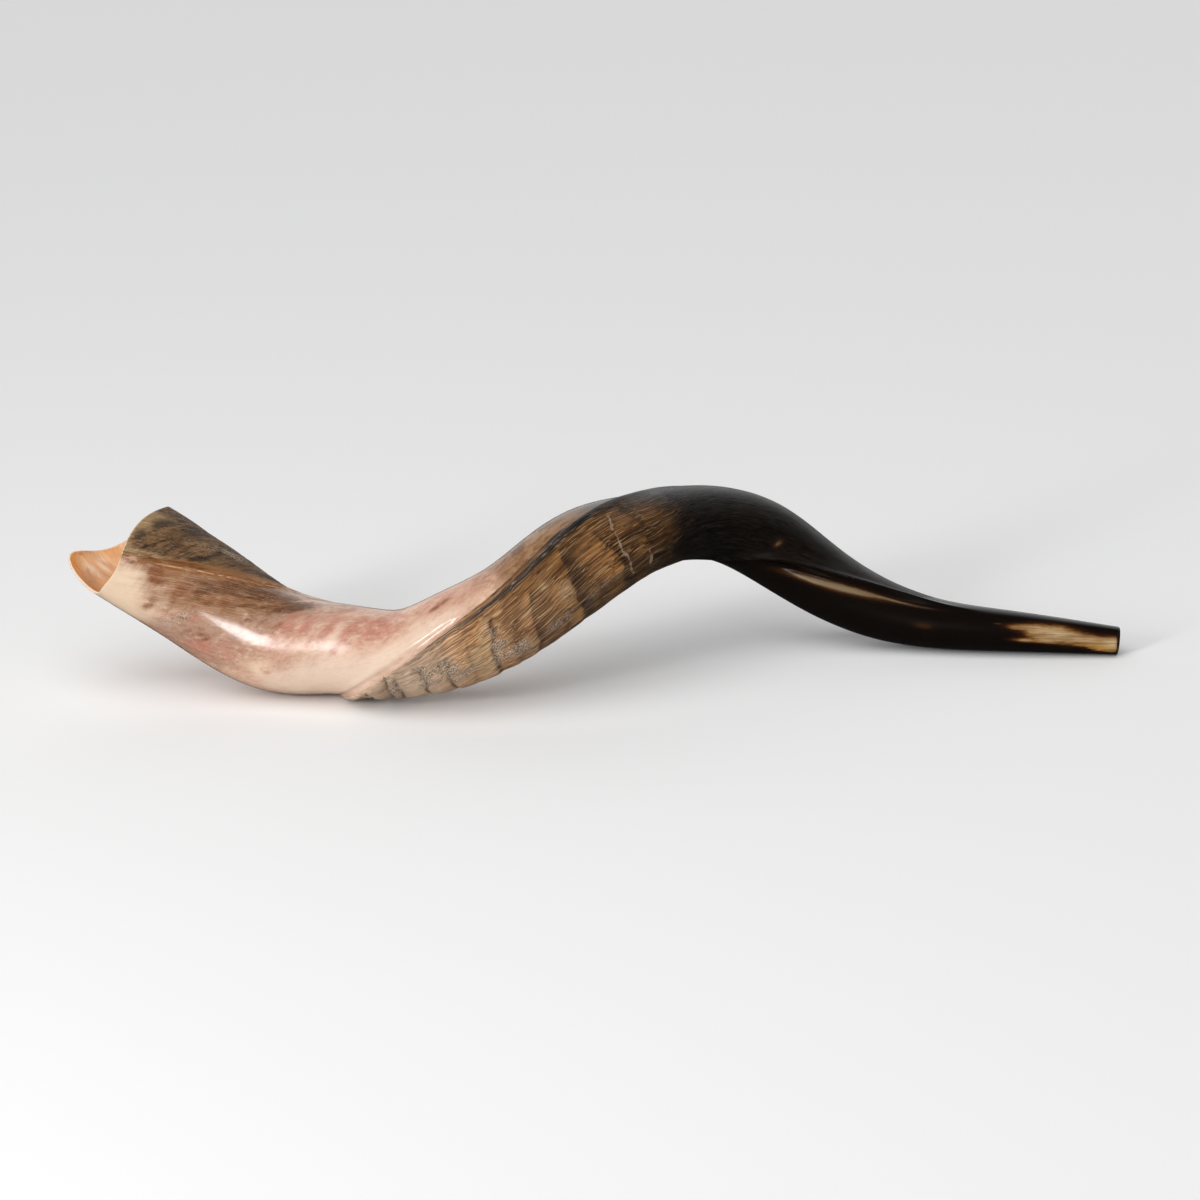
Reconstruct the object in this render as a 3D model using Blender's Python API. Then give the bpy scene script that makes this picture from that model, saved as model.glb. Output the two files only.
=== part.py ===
"""Spiral horn of a large antelope, hollowed and drilled right through so that it can be blown.

The horn is one grown piece.  It is a tube of horn that tapers from a wide, wavy bell to a small
cupped mouthpiece while it winds through about one and a third turns of a loose helix.  Two lines
run down it and turn with it.  The ridge and the keel part its skin in two: from the ridge round
to the keel the natural growth is left standing, and from the keel on round to the ridge the skin
is ground down and polished.

Sizes below are millimetres and degrees.  The shape is worked out in a side view of the winding,
as along (bell to mouthpiece), up, and near (towards the viewer), and is then laid down at rest.
"""

import math

import bmesh
import bpy
import numpy as np
from mathutils import Euler, Matrix, Vector

MM = 0.001

# One row for each station down the middle of the horn:
# along, up, near, longer and shorter half width of the section, turn of the ridge, turn of the keel.
# Turns are counted round the section from the side that faces the viewer, towards the top.
STATIONS = np.array([
    (-410, 69.0, -42, 43.0, 42.0, -24, 60),
    (-353, 32.5, -45, 43.5, 43.0, 0, 92),
    (-304, 1.8, -41, 43.0, 41.5, 31, 134),
    (-251, -29.5, -27, 41.0, 40.0, 84, 196),
    (-198, -37.0, -3, 37.0, 34.8, 120, 258),
    (-152, -39.5, 21, 32.5, 33.0, 160, 326),
    (-106, -26.8, 41, 36.2, 33.0, 188, 366),
    (-61, -3.2, 50, 36.8, 34.0, 203, 383),
    (-8, 35.0, 43, 39.0, 33.0, 218, 406),
    (34, 51.3, 21, 34.5, 29.5, 240, 441),
    (76, 58.8, -5, 31.0, 27.5, 264, 480),
    (122, 46.8, -30, 30.5, 26.5, 332, 528),
    (167, 17.5, -40, 28.0, 24.5, 374, 566),
    (213, -6.5, -32, 24.5, 22.5, 402, 594),
    (258, -18.2, -15, 19.5, 19.0, 413, 604),
    (304, -23.0, 1, 16.5, 16.3, 416, 606),
    (391, -30.8, 24, 10.8, 10.8, 418, 608),
], dtype=float)

# How far ahead and behind the course of the middle line is taken from.
COURSE_STEP = 0.01

# How far the rim reaches past the bell's base, by the angle round the section from the ridge.
BELL_BASE = -353.0
RIM_REACH = {10: 13, 45: 13, 72: 7, 100: 4, 140: 9, 190: 22, 219: 35, 249: 49, 268: 34,
             285: 17, 307: 12, 340: 9}
REACH_TO_ALONG = 0.857

# Wall thickness down the horn: thin at the bell, and thick where only a drilled bore goes on.
WALL = {-410: 2.3, -228: 2.8, -76: 3.8, 76: 5.8, 167: 8.8, 213: 11.5, 304: 11.4, 391: 6.5}

CUP_DEPTH = 12.0
CUP_RADIUS = 7.6
END_ROUND = 1.0

# The step where the ground skin meets the natural growth at the keel, and the swelling behind it.
STEP_BASE = 0.4
STEP_PROUD = 2.2
STEP_PROUD_SPAN = (-195.0, 14.0)
STEP_FAR = 0.8
STEP_FAR_SPAN = (14.0, 250.0)
STEP_SOFT = 34.0
STEP_WIDTH = 6.0
KEEL_SWELL = 1.2
KEEL_SWELL_PROUD = 0.8
KEEL_SWELL_TURN = 5.0
KEEL_SWELL_WIDTH = 9.0

# The ridge, and the hollow channels on its two sides.
RIDGE_HEIGHT = 1.0
RIDGE_PINCH = 2.3
RIDGE_PINCH_SPAN = (110.0, 260.0)
RIDGE_WIDTH = 7.0
GROOVE_DEPTH = 0.6
GROOVE_PINCH = 2.0
GROOVE_PINCH_SPAN = (105.0, 245.0)
GROOVE_TURN = 13.0
GROOVE_WIDTH = 9.0
CHANNEL_DEPTH = 1.0
CHANNEL_SPAN = (20.0, 160.0)
CHANNEL_TURN = 18.0
CHANNEL_WIDTH = 12.0
SPAN_SOFT = 62.0
# Ridge, keel and grooves die out towards the round mouthpiece.
FADE_SPAN = (235.0, 300.0)

# The way the horn lies: rolled back, with its winding sloping down to the mouthpiece, and lifted.
REST_ROLL = 18.16
REST_SLOPE = 4.27
REST_PLACE = (10.15, -10.7, 60.15)

OUTER_ROWS = 84
INNER_ROWS = 32
# Rows in the cup, as parts of its depth from the mouthpiece.
CUP_ROWS = (0.6, 0.3, 0.1, 0.0)
SECTOR_COLUMNS = 20

# Edges that turn by more than this many degrees stay sharp.
SHARP_TURN = 40.0

HORN_COLOUR = (0.30, 0.19, 0.12, 1.0)
HORN_ROUGHNESS = 0.28


def clear_scene():
    """Remove every object that is in the scene."""
    for thing in list(bpy.data.objects):
        bpy.data.objects.remove(thing, do_unlink=True)


def smooth_curve(knots, values, at):
    """Read the natural cubic spline through values at knots."""
    gap = np.diff(knots)
    system = np.eye(len(knots))
    right = np.zeros(values.shape)
    slope = np.diff(values, axis=0) / gap.reshape((-1,) + (1,) * (values.ndim - 1))
    for i in range(1, len(knots) - 1):
        system[i, i - 1:i + 2] = gap[i - 1], 2 * (gap[i - 1] + gap[i]), gap[i]
        right[i] = 6 * (slope[i] - slope[i - 1])
    bend = np.linalg.solve(system, right)
    i = np.clip(np.searchsorted(knots, at) - 1, 0, len(knots) - 2)
    spread = at.shape + (1,) * (values.ndim - 1)
    width = gap[i].reshape(spread)
    low = ((knots[i + 1] - at) / gap[i]).reshape(spread)
    high = ((at - knots[i]) / gap[i]).reshape(spread)
    curve = low * values[i] + high * values[i + 1]
    return curve + ((low ** 3 - low) * bend[i] + (high ** 3 - high) * bend[i + 1]) * width ** 2 / 6


def table_curve(table, at):
    """Read a table of place and value as a smooth curve."""
    return smooth_curve(np.array(list(table), float), np.array(list(table.values()), float), at)


def ramp(value, start, end):
    """Rise smoothly from 0 at start to 1 at end."""
    part = np.clip((value - start) / (end - start), 0, 1)
    return part * part * (3 - 2 * part)


def span(along, limits, soft):
    """Be 1 between two places along the horn and 0 outside, with soft ends."""
    low, high = limits
    return ramp(along, low - soft / 2, low + soft / 2) * (1 - ramp(along, high - soft / 2, high + soft / 2))


def bump(turn, width):
    """Be 1 where turn is 0, and fall away like a bell."""
    return np.exp(-(turn / width) ** 2)


def short_turn(turn):
    """Bring a turn in degrees to between -180 and 180."""
    return (turn + 180) % 360 - 180


def rim_along(turn):
    """Place of the bell's rim for each turn round from the ridge."""
    around = np.array(list(RIM_REACH), float)
    reach = np.array(list(RIM_REACH.values()), float)
    wide = np.concatenate([around - 360, around, around + 360])
    return BELL_BASE - REACH_TO_ALONG * smooth_curve(wide, np.tile(reach, 3), turn % 360)


def section_oval(station, turn, inset):
    """Radius of the oval section, drawn in by inset, its long way midway from ridge to keel."""
    long_half, short_half = station[..., 3] - inset, station[..., 4] - inset
    off = np.radians(turn - (station[..., 6] - station[..., 5]) / 2)
    return 1 / np.hypot(np.cos(off) / long_half, np.sin(off) / short_half)


def skin_relief(along, turn, keel_turn):
    """Height of the keel's step, the ridge and its grooves over the oval section."""
    past_keel = turn - keel_turn
    from_keel = short_turn(past_keel)
    from_ridge = short_turn(turn)
    proud = span(along, STEP_PROUD_SPAN, STEP_SOFT)
    step = STEP_BASE + STEP_PROUD * proud + STEP_FAR * span(along, STEP_FAR_SPAN, STEP_SOFT)
    growth = np.where(past_keel <= 0, ramp(turn, 0, keel_turn / 2), 1 - ramp(past_keel, 0, STEP_WIDTH))
    height = step * growth
    height += (KEEL_SWELL + KEEL_SWELL_PROUD * proud) * bump(from_keel + KEEL_SWELL_TURN, KEEL_SWELL_WIDTH)
    pinch = RIDGE_PINCH * span(along, RIDGE_PINCH_SPAN, SPAN_SOFT)
    height += (RIDGE_HEIGHT + pinch) * bump(from_ridge, RIDGE_WIDTH)
    pinch = GROOVE_PINCH * span(along, GROOVE_PINCH_SPAN, SPAN_SOFT)
    height -= (GROOVE_DEPTH + pinch) * bump(from_ridge + GROOVE_TURN, GROOVE_WIDTH)
    channel = CHANNEL_DEPTH * span(along, CHANNEL_SPAN, SPAN_SOFT)
    height -= channel * bump(from_ridge - CHANNEL_TURN, CHANNEL_WIDTH)
    return height * (1 - ramp(along, *FADE_SPAN))


def bore_radius(along, station, turn):
    """Radius of the hollow: the section less the wall, opened out to the cup at the mouthpiece."""
    hollow = section_oval(station, turn, table_curve(WALL, along))
    end = STATIONS[-1, 0]
    into_cup = np.clip((along - end + CUP_DEPTH) / CUP_DEPTH, 0, 1)
    return hollow + np.clip(CUP_RADIUS - hollow, 0, None) * np.sin(into_cup * math.pi / 2)


def section_points(along, station, turn, radius):
    """Points round the sections, square to the middle line, in the side view."""
    middle = smooth_curve(STATIONS[:, 0], STATIONS[:, :3], along)
    ahead = smooth_curve(STATIONS[:, 0], STATIONS[:, :3], along + COURSE_STEP)
    course = ahead - smooth_curve(STATIONS[:, 0], STATIONS[:, :3], along - COURSE_STEP)
    course /= np.linalg.norm(course, axis=-1, keepdims=True)
    facing = np.array([0.0, 0.0, 1.0]) - course * course[..., 2:3]
    facing /= np.linalg.norm(facing, axis=-1, keepdims=True)
    upward = np.cross(facing, course)
    angle = np.radians(turn + station[..., 5])[..., None]
    return middle + radius[..., None] * (np.cos(angle) * facing + np.sin(angle) * upward)


def sector_turns(keel_turn):
    """Turns of the columns round a section, half of them on each side of the keel."""
    part = np.arange(SECTOR_COLUMNS) / SECTOR_COLUMNS
    growth = part * keel_turn
    ground = keel_turn + part * (360 - keel_turn)
    return np.concatenate([growth, ground], axis=-1)


def skin_places(part):
    """Places along the horn, station values and turns for rows at each part of the way."""
    base = smooth_curve(STATIONS[:, 0], STATIONS, np.full((1, 1), BELL_BASE))
    rim = rim_along(sector_turns(base[..., 6] - base[..., 5]))
    along = rim + (STATIONS[-1, 0] - rim) * part[:, None]
    station = smooth_curve(STATIONS[:, 0], STATIONS, along)
    return along, station, sector_turns(station[:, :1, 6] - station[:, :1, 5])


def outer_skin():
    """Rings of points of the outer skin, from the rim of the bell to the mouthpiece."""
    length = STATIONS[-1, 0] - BELL_BASE
    along, station, turn = skin_places(np.append(np.linspace(0, 1 - END_ROUND / length, OUTER_ROWS), 1))
    radius = section_oval(station, turn, 0) + skin_relief(along, turn, station[..., 6] - station[..., 5])
    radius[-1] -= END_ROUND
    return section_points(along, station, turn, radius)


def inner_skin():
    """Rings of points of the hollow, from the mouthpiece back to the rim of the bell."""
    length = STATIONS[-1, 0] - BELL_BASE
    cup = 1 - np.array(CUP_ROWS) * CUP_DEPTH / length
    part = np.concatenate([np.linspace(0, 1 - CUP_DEPTH / length, INNER_ROWS), cup])[::-1]
    along, station, turn = skin_places(part)
    return section_points(along, station, turn, bore_radius(along, station, turn))


def first_ring(shape, places):
    """Make a closed ring of edges."""
    ring = [shape.verts.new(place) for place in places]
    for start, end in zip(ring, ring[1:] + ring[:1]):
        shape.edges.new((start, end))
    return ring


def ring_edges(shape, ring):
    """Edges of a ring of vertices, in order."""
    return [shape.edges.get((start, end)) for start, end in zip(ring, ring[1:] + ring[:1])]


def extrude_ring(shape, ring, places):
    """Extrude a ring and move each new vertex to its place."""
    made = bmesh.ops.extrude_edge_only(shape, edges=ring_edges(shape, ring))["geom"]
    fresh = {item for item in made if isinstance(item, bmesh.types.BMVert)}
    moved = []
    for vertex, place in zip(ring, places):
        partner = next(other for other in (edge.other_vert(vertex) for edge in vertex.link_edges)
                       if other in fresh)
        partner.co = place
        moved.append(partner)
    return moved


def closed_skin(shape, rings):
    """Extrude a skin through rings of points, and back onto the first ring."""
    first = last = first_ring(shape, rings[0])
    for places in rings[1:] + rings[:1]:
        last = extrude_ring(shape, last, places)
    bmesh.ops.weld_verts(shape, targetmap=dict(zip(last, first)))


def horn_material():
    """Plain brown horn with a polished skin."""
    material = bpy.data.materials.new("horn")
    material.use_nodes = True
    shader = material.node_tree.nodes["Principled BSDF"]
    shader.inputs["Base Color"].default_value = HORN_COLOUR
    shader.inputs["Roughness"].default_value = HORN_ROUGHNESS
    shader.inputs["Metallic"].default_value = 0.0
    material.diffuse_color = HORN_COLOUR
    return material


def horn_mesh():
    """Mesh of the horn in the side view: along X, near the viewer at -Y, up at +Z."""
    shape = bmesh.new()
    side_view = Matrix(((1, 0, 0), (0, 0, -1), (0, 1, 0))) * MM
    rings = np.concatenate([outer_skin(), inner_skin()])
    closed_skin(shape, [[side_view @ Vector(point) for point in ring] for ring in rings])
    bmesh.ops.triangulate(shape, faces=shape.faces)
    bmesh.ops.recalc_face_normals(shape, faces=shape.faces)
    mesh = bpy.data.meshes.new("horn")
    shape.to_mesh(mesh)
    shape.free()
    mesh.shade_smooth()
    mesh.set_sharp_from_angle(angle=math.radians(SHARP_TURN))
    return mesh


def make_horn():
    """Make the horn and lay it down as it rests."""
    horn = bpy.data.objects.new("horn", horn_mesh())
    horn.data.materials.append(horn_material())
    roll = Euler((math.radians(-REST_ROLL), 0, 0)).to_matrix()
    slope = Euler((0, math.radians(REST_SLOPE), 0)).to_matrix()
    horn.rotation_euler = (roll @ slope).to_euler()
    horn.location = Vector(REST_PLACE) * MM
    bpy.context.scene.collection.objects.link(horn)


clear_scene()
make_horn()
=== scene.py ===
"""Looks of a kudu horn that is worked into a blowing horn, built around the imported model.

The horn is one piece.  Its skin is a closed surface worked out on a grid: rows run from the rim of
the bell down the outside to the mouthpiece, and back up the hollow, and columns run round it.  The
column coordinate is the lap: 0 on the ridge, 1 on the keel and 2 on the ridge again, so that laps 0
to 1 are the natural growth and laps 1 to 2 the ground and polished skin.

The form is worked out in millimetres and degrees in a side view of the winding, as along (bell to
mouthpiece), up and near (towards the viewer), and is then laid down at rest as the model lies.
"""

import logging
import math
from dataclasses import dataclass, field
from enum import Enum

import bpy
import numpy as np
from mathutils import Matrix, Vector


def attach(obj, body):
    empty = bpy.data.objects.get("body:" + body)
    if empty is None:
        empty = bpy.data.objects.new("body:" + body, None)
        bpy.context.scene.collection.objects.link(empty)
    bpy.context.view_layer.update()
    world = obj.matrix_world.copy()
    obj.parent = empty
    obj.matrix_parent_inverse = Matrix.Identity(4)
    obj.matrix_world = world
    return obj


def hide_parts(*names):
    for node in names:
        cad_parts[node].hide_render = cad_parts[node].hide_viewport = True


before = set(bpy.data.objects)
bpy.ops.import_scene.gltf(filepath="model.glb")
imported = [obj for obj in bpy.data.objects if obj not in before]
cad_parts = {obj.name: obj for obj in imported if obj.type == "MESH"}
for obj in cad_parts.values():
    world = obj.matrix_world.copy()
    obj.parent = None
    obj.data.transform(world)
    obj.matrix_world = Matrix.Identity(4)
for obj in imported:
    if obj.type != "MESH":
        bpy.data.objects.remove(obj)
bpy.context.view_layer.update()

MM = 0.001
GRAIN_RADIUS = 30.0
LOG = logging.getLogger("horn")
# Turns the side view (along, up, near) to the scene's x, y and z.
SIDE_VIEW = Matrix(((1, 0, 0), (0, 0, -1), (0, 1, 0)))

Array = np.ndarray
Socket = bpy.types.NodeSocket
Sockets = dict[str, Socket]
Feed = float | tuple | Socket
Pair = tuple[float, float]
Triple = tuple[float, float, float]
Colour = Triple


class Tone(Enum):
    """A stain of the skin, by the vertex attribute that holds it and its place in it."""

    CREAM = ("tones_a", 0)
    ROSE = ("tones_a", 1)
    RUSSET = ("tones_a", 2)
    UMBER = ("tones_b", 0)
    ASH = ("tones_b", 1)
    TAN = ("tones_b", 2)
    BLACK = ("tones_c", 0)
    AMBER = ("tones_c", 1)
    PALE = ("tones_c", 2)
    MAUVE = ("tones_d", 0)
    HONEY = ("tones_d", 1)
    MILK = ("tones_d", 2)


# Growth rings and old cracks: the values of Seam, in its own order.
SEAMS = (
    ((0.03, 0.16, 0.26, 0.34, 0.5, 0.8), (-350, -347, -346, -343, -336, -322), 0.3, 0.55, 3),
    ((0.15, 0.27, 0.4, 0.57, 0.8), (-343, -339, -334, -324, -310), 0.3, 0.9, 4),
    ((0.08, 0.18, 0.27, 0.32, 0.39, 0.7), (-332, -328, -326, -318, -307, -294), 0.3, 0.75, 4),
    ((0.03, 0.12, 0.3, 0.6), (-322, -316, -306, -292), 0.35, 0.65, 4),
    ((0.03, 0.2, 0.5, 0.95), (-308, -299, -286, -268), 0.4, 0.6, 4),
    ((0.05, 0.2, 0.5, 0.95), (-292, -284, -270, -254), 0.4, 0.5, 5),
    ((0.05, 0.5, 0.95), (-272, -254, -240), 0.5, 0.5, 5, 0.3),
    ((0.1, 0.5, 0.95), (-250, -236, -224), 0.6, 0.5, 5, 0.3),
    ((0.1, 0.5, 0.96), (-229, -219, -211), 0.8, 0.5, 5, 0.4),
    ((0.1, 0.5, 0.97), (-212, -205, -198), 1, 0.5, 5, 0.4),
    ((0.1, 0.5, 0.98), (-196, -191, -185), 1.1, 0.5, 5, 0.5),
    ((0.1, 0.5, 0.99), (-181, -177, -172), 1.2, 0.5, 4, 0.5),
    ((0.1, 0.5, 0.8, 1), (-173, -171, -169, -166), 1.5, 0.5, 2, 0.6, 6, 5, 1.6),
    ((0.1, 0.5, 0.77, 0.93, 1.02), (-159, -157, -154.5, -151.5, -149), 2.9, 1, 2.5, 0.5, 6, 4.5, 1.3),
    ((0.1, 0.5, 0.78, 0.99), (-150, -149, -147, -143), 0.9, 0.4, 2, 0.2, 4, 2, 1.2),
    ((0.2, 0.5, 0.68, 0.94), (-137, -134, -131, -127), 1.5, 0.6, 2.5, 0.4, 6, 4.5),
    ((0.2, 0.45, 0.66, 0.87), (-122, -118, -115, -110), 1.1, 0.6, 2.5, 0.55, 7, 4.5),
    ((0.2, 0.5, 0.7, 0.9), (-107, -103, -100, -95), 0.3, 0.45, 5, 0.3, 6, 3, 2),
    ((0.3, 0.52, 0.63, 0.74, 0.83, 0.94), (-89, -87, -86, -84, -79, -76), 1.2, 0.6, 2.5, 1.1, 9, 1.3, 5),
    ((0.1, 0.4, 0.59, 0.82), (-80, -76, -73, -66), 0.4, 0.5, 3, 0.2, 5, 2, 3),
    ((0.3, 0.5, 0.64, 0.77, 0.9), (-66, -63, -59, -55, -50), 0.5, 0.85, 6, 1, 8, 2, 3),
    ((0.3, 0.58, 0.66, 0.77, 0.85, 0.95), (-35, -33, -32, -30, -28, -26), 0.4, 1, 11, 1, 8, 2, 3),
    ((0.3, 0.59, 0.65, 0.72, 0.9), (-5, -3, -3, -6, -10), 0.3, 0.9, 5, 1.1, 13, 3, 3),
    ((0.3, 0.55, 0.66, 0.75, 0.93), (16, 17, 17, 15, 8), 0.2, 0.8, 12, 0.7, 9, 3, 3),
)
CRACKS = (
    ((0.47, 0.53, 0.59, 0.66, 0.72, 0.8, 0.89), (4.5, 1.5, 1.6, -0.4, 0.3, 0.8, 3.2)),
    ((0.47, 0.55), (17.4, 16.8)),
)
# Stains of the skin: the values of Mark, in its own order.
MARKS = {
    Tone.CREAM: (
        (-354, 1.87, 14, 0.085, 1), (-352, 1.77, 20, 0.11, 0.9), (-385, 1.58, 24, 0.2, 0.8),
        (-344, 1.935, 4, 0.012, 0.9), (-335, 1.71, 14, 0.05, 0.5), (-318, 1.83, 5, 0.03, 0.4),
        (-325, 1.77, 5, 0.03, 0.4), (-240, 1.475, 9, 0.04, 0.8),
    ),
    Tone.MILK: (
        (-212, 1.32, 30, 0.12, 1), (-165, 1.12, 42, 0.1, 1), (-190, 1.2, 26, 0.14, 0.9),
        (-112, 1.1, 34, 0.06, 0.7), (-235, 1.4, 12, 0.06, 0.8), (-150, 1.6, 40, 0.08, 0.4),
        (-120, 1.2, 14, 0.05, 0.5), (388, 1.56, 7, 0.12, 0.9), (351, 1.68, 12, 0.07, 0.6),
        # The last milk stain, at -188 along and lap 1.9, is partly pale skin and partly painted rim light
        # along the bell's top edge.
        (-185, 1.47, 6, 0.05, 0.5), (-188, 1.9, 24, 0.14, 0.9),
    ),
    Tone.ROSE: (
        (-225, 1.62, 18, 0.1, 0.5), (-160, 1.43, 22, 0.12, 0.6), (-148, 1.32, 16, 0.12, 0.6),
        (-108, 1.3, 24, 0.1, 0.45), (-175, 1.66, 24, 0.1, 0.35), (-276, 1.6, 22, 0.05, 0.5),
        (-222, 1.68, 4, 0.05, 0.9, 40), (-208, 1.62, 4.5, 0.06, 0.9, 40), (-191, 1.53, 4, 0.06, 1, 45),
        (-174, 1.47, 5, 0.055, 1, 45), (-160, 1.43, 5, 0.05, 0.9, 45), (-183, 1.38, 4, 0.03, 0.8, 45),
        (-203, 1.51, 3.5, 0.03, 0.8, 20), (-238, 1.6, 6, 0.03, 0.8), (-150, 1.41, 6, 0.04, 0.6, 30),
        (-262, 1.56, 10, 0.03, 0.6), (-236, 1.47, 5, 0.03, 0.5), (-296, 1.76, 10, 0.02, 0.6),
        (-286, 1.62, 12, 0.02, 0.6),
    ),
    Tone.RUSSET: (
        (-337, 1.965, 4.5, 0.028, 1), (-329, 1.915, 5, 0.026, 0.95), (-333, 1.94, 4, 0.022, 0.9),
        (-313, 1.885, 4.5, 0.034, 1), (-329, 1.8, 5, 0.045, 0.5, 30), (-316, 1.84, 5, 0.02, 0.6),
        (-343, 0.02, 4, 0.02, 0.8), (-329, 0.03, 5, 0.025, 0.7), (-320, 0.035, 10, 0.02, 1),
        (-310, 0.005, 8, 0.012, 1), (-298, 1.985, 10, 0.012, 0.7), (-294, 1.85, 6, 0.03, 0.6),
        (-283, 1.83, 5, 0.03, 0.8), (-259, 1.74, 5, 0.03, 0.7), (-303, 1.76, 6, 0.014, 0.8),
        (-292, 1.68, 7, 0.03, 0.7), (-283, 1.65, 6, 0.02, 0.7), (-262, 1.66, 5, 0.03, 0.5),
        (-232, 1.66, 4, 0.04, 0.6, 30), (-246, 1.7, 5, 0.04, 0.5, 30), (-104, 1.24, 9, 0.035, 0.6),
        (-195, 1.75, 6, 0.05, 0.5, 40), (-170, 1.75, 6, 0.05, 0.5, 40), (-145, 1.7, 6, 0.05, 0.5, 40),
    ),
    Tone.UMBER: (
        (-300, 1.895, 5.5, 0.036, 1), (-305, 1.93, 10, 0.03, 0.5), (-285, 1.925, 9, 0.04, 0.9),
        (-272, 1.9, 12, 0.045, 1), (-256, 1.895, 12, 0.045, 0.95), (-238, 1.86, 14, 0.045, 0.9),
        (-226, 1.79, 14, 0.05, 0.8), (-218, 1.8, 12, 0.03, 0.6), (-250, 1.835, 40, 0.008, 0.95, 0, -0.0013),
        (-256, 1.8, 42, 0.008, 0.95, 0, -0.0009), (-235, 1.775, 22, 0.008, 0.7, 0, -0.0012),
        (-236, 1.77, 16, 0.03, 0.5), (-351, 0.52, 7, 0.07, 0.9, 40), (-360, 0.29, 4, 0.08, 0.75),
        (-318, 0.115, 9, 0.03, 0.8), (-330, 0.5, 8, 0.1, 0.5, 40), (-300, 0.3, 16, 0.08, 0.5),
        (-276, 0.15, 20, 0.08, 0.6), (-80, 1.7, 60, 0.14, 0.7), (-354, 1.975, 4, 0.008, 0.7),
    ),
    Tone.ASH: (
        (-151, 0.82, 3, 0.2, 0.9, 10), (-145, 0.88, 6, 0.12, 0.7), (-127, 0.84, 7, 0.12, 0.9),
        (-112, 0.8, 7, 0.1, 0.9), (-104, 0.7, 9, 0.06, 0.6), (-80, 0.73, 5.5, 0.13, 1, 24),
        (-72, 0.62, 8, 0.07, 0.9), (-46, 0.59, 9, 0.06, 0.5), (-22, 0.57, 9, 0.06, 0.3),
        (-303, 1.77, 6, 0.03, 0.8), (-309, 1.72, 6, 0.03, 0.8), (-8, 0.56, 8, 0.05, 0.25),
        (-250, 0.4, 40, 0.2, 0.5), (-200, 0.6, 30, 0.25, 0.7), (-301, 0.34, 20, 0.1, 0.55),
    ),
    Tone.TAN: (
        (-362, 0.47, 6, 0.2, 1), (-366, 0.25, 3.5, 0.3, 0.9), (-357, 0.6, 9, 0.12, 0.9),
        (-358, 0.05, 10, 0.07, 0.9), (-346, 0.08, 6, 0.04, 0.6), (-335, 0.06, 8, 0.03, 0.5),
        (-94, 0.72, 8, 0.12, 1, 22), (-92, 0.55, 8, 0.1, 0.7), (-36, 0.7, 5, 0.06, 0.8),
        (-44, 0.83, 3, 0.04, 0.6), (-25, 0.87, 3, 0.03, 0.5),
    ),
    Tone.BLACK: (
        (-24, 1.03, 7, 0.03, 1), (-7, 0.985, 10, 0.03, 1), (-40, 1, 7, 0.018, 0.7),
    ),
    Tone.AMBER: (
        (320, 1.75, 9, 0.05, 0.8), (334, 1.73, 11, 0.11, 1), (347, 1.71, 12, 0.14, 1),
        (340, 1.67, 10, 0.09, 0.9), (359, 1.64, 12, 0.13, 1), (372, 1.59, 14, 0.11, 1),
        (388, 1.57, 12, 0.16, 1), (326, 1.53, 10, 0.035, 0.9), (341, 1.56, 10, 0.06, 0.9),
        (386, 1.43, 11, 0.1, 0.85), (356, 0.5, 26, 0.12, 0.8), (376, 1.7, 9, 0.012, 0.6),
    ),
    Tone.PALE: (
        (193, 1.872, 26, 0.05, 1), (166, 1.865, 22, 0.03, 0.9), (226, 1.89, 24, 0.026, 0.85),
        (305, 1.77, 3, 0.01, 0.6), (127, 0.15, 3, 0.045, 0.6), (253, 1.63, 7, 0.04, 0.3),
    ),
    Tone.MAUVE: (
        (-262, 1.63, 30, 0.1, 0.9), (-295, 1.7, 26, 0.08, 0.95), (-315, 1.65, 26, 0.07, 0.8),
        (-326, 1.72, 14, 0.04, 0.6), (-235, 1.7, 28, 0.08, 0.8), (-300, 1.55, 34, 0.07, 0.8),
        (-200, 1.78, 40, 0.08, 0.7), (-280, 1.76, 26, 0.05, 0.9), (-250, 1.74, 30, 0.06, 0.8),
        (-320, 1.84, 16, 0.05, 0.6), (-190, 1.68, 20, 0.04, 0.4),
    ),
    Tone.HONEY: (
        (-300, 1.95, 40, 0.1, 1), (-252, 1.88, 32, 0.12, 1), (-318, 0.03, 34, 0.05, 0.9),
        (-283, 0, 24, 0.06, 0.8), (-350, 0, 12, 0.05, 0.6), (-300, 1.86, 30, 0.07, 0.9),
        (-330, 1.94, 12, 0.04, 0.8), (-270, 1.82, 34, 0.05, 0.9), (378, 1.43, 22, 0.12, 1),
        (-38, 0.72, 8, 0.1, 1), (-15, 0.73, 10, 0.11, 1), (-8, 0.84, 6, 0.04, 0.8), (10, 0.8, 9, 0.07, 0.8),
        (35, 0.62, 5, 0.03, 0.7), (-62, 0.68, 7, 0.12, 0.7), (-58, 0.78, 6, 0.06, 0.6),
        (24, 0.72, 8, 0.06, 0.5), (48, 0.6, 14, 0.1, 0.35), (-20, 0.62, 12, 0.06, 0.5),
        (-62, 1.3, 18, 0.16, 0.6), (-46, 1.12, 18, 0.1, 0.7),
    ),
}
# Stains of the hollow's visible lobe, amber, rose and milky, by distance from the rim and lap.
LOBE_MARKS = (
    ((2, 1.6, 7, 0.1, 1), (6, 1.68, 9, 0.06, 1), (14, 1.66, 6, 0.04, 0.8), (3, 1.42, 8, 0.04, 0.7)),
    ((4, 1.5, 5, 0.03, 0.9), (20, 1.61, 9, 0.05, 0.6), (22, 1.5, 10, 0.04, 0.6), (12, 1.47, 6, 0.02, 0.6)),
    ((16, 1.55, 10, 0.022, 1, 60), (7, 1.465, 5, 0.016, 1), (14, 1.5, 8, 0.014, 0.8)),
)


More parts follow.
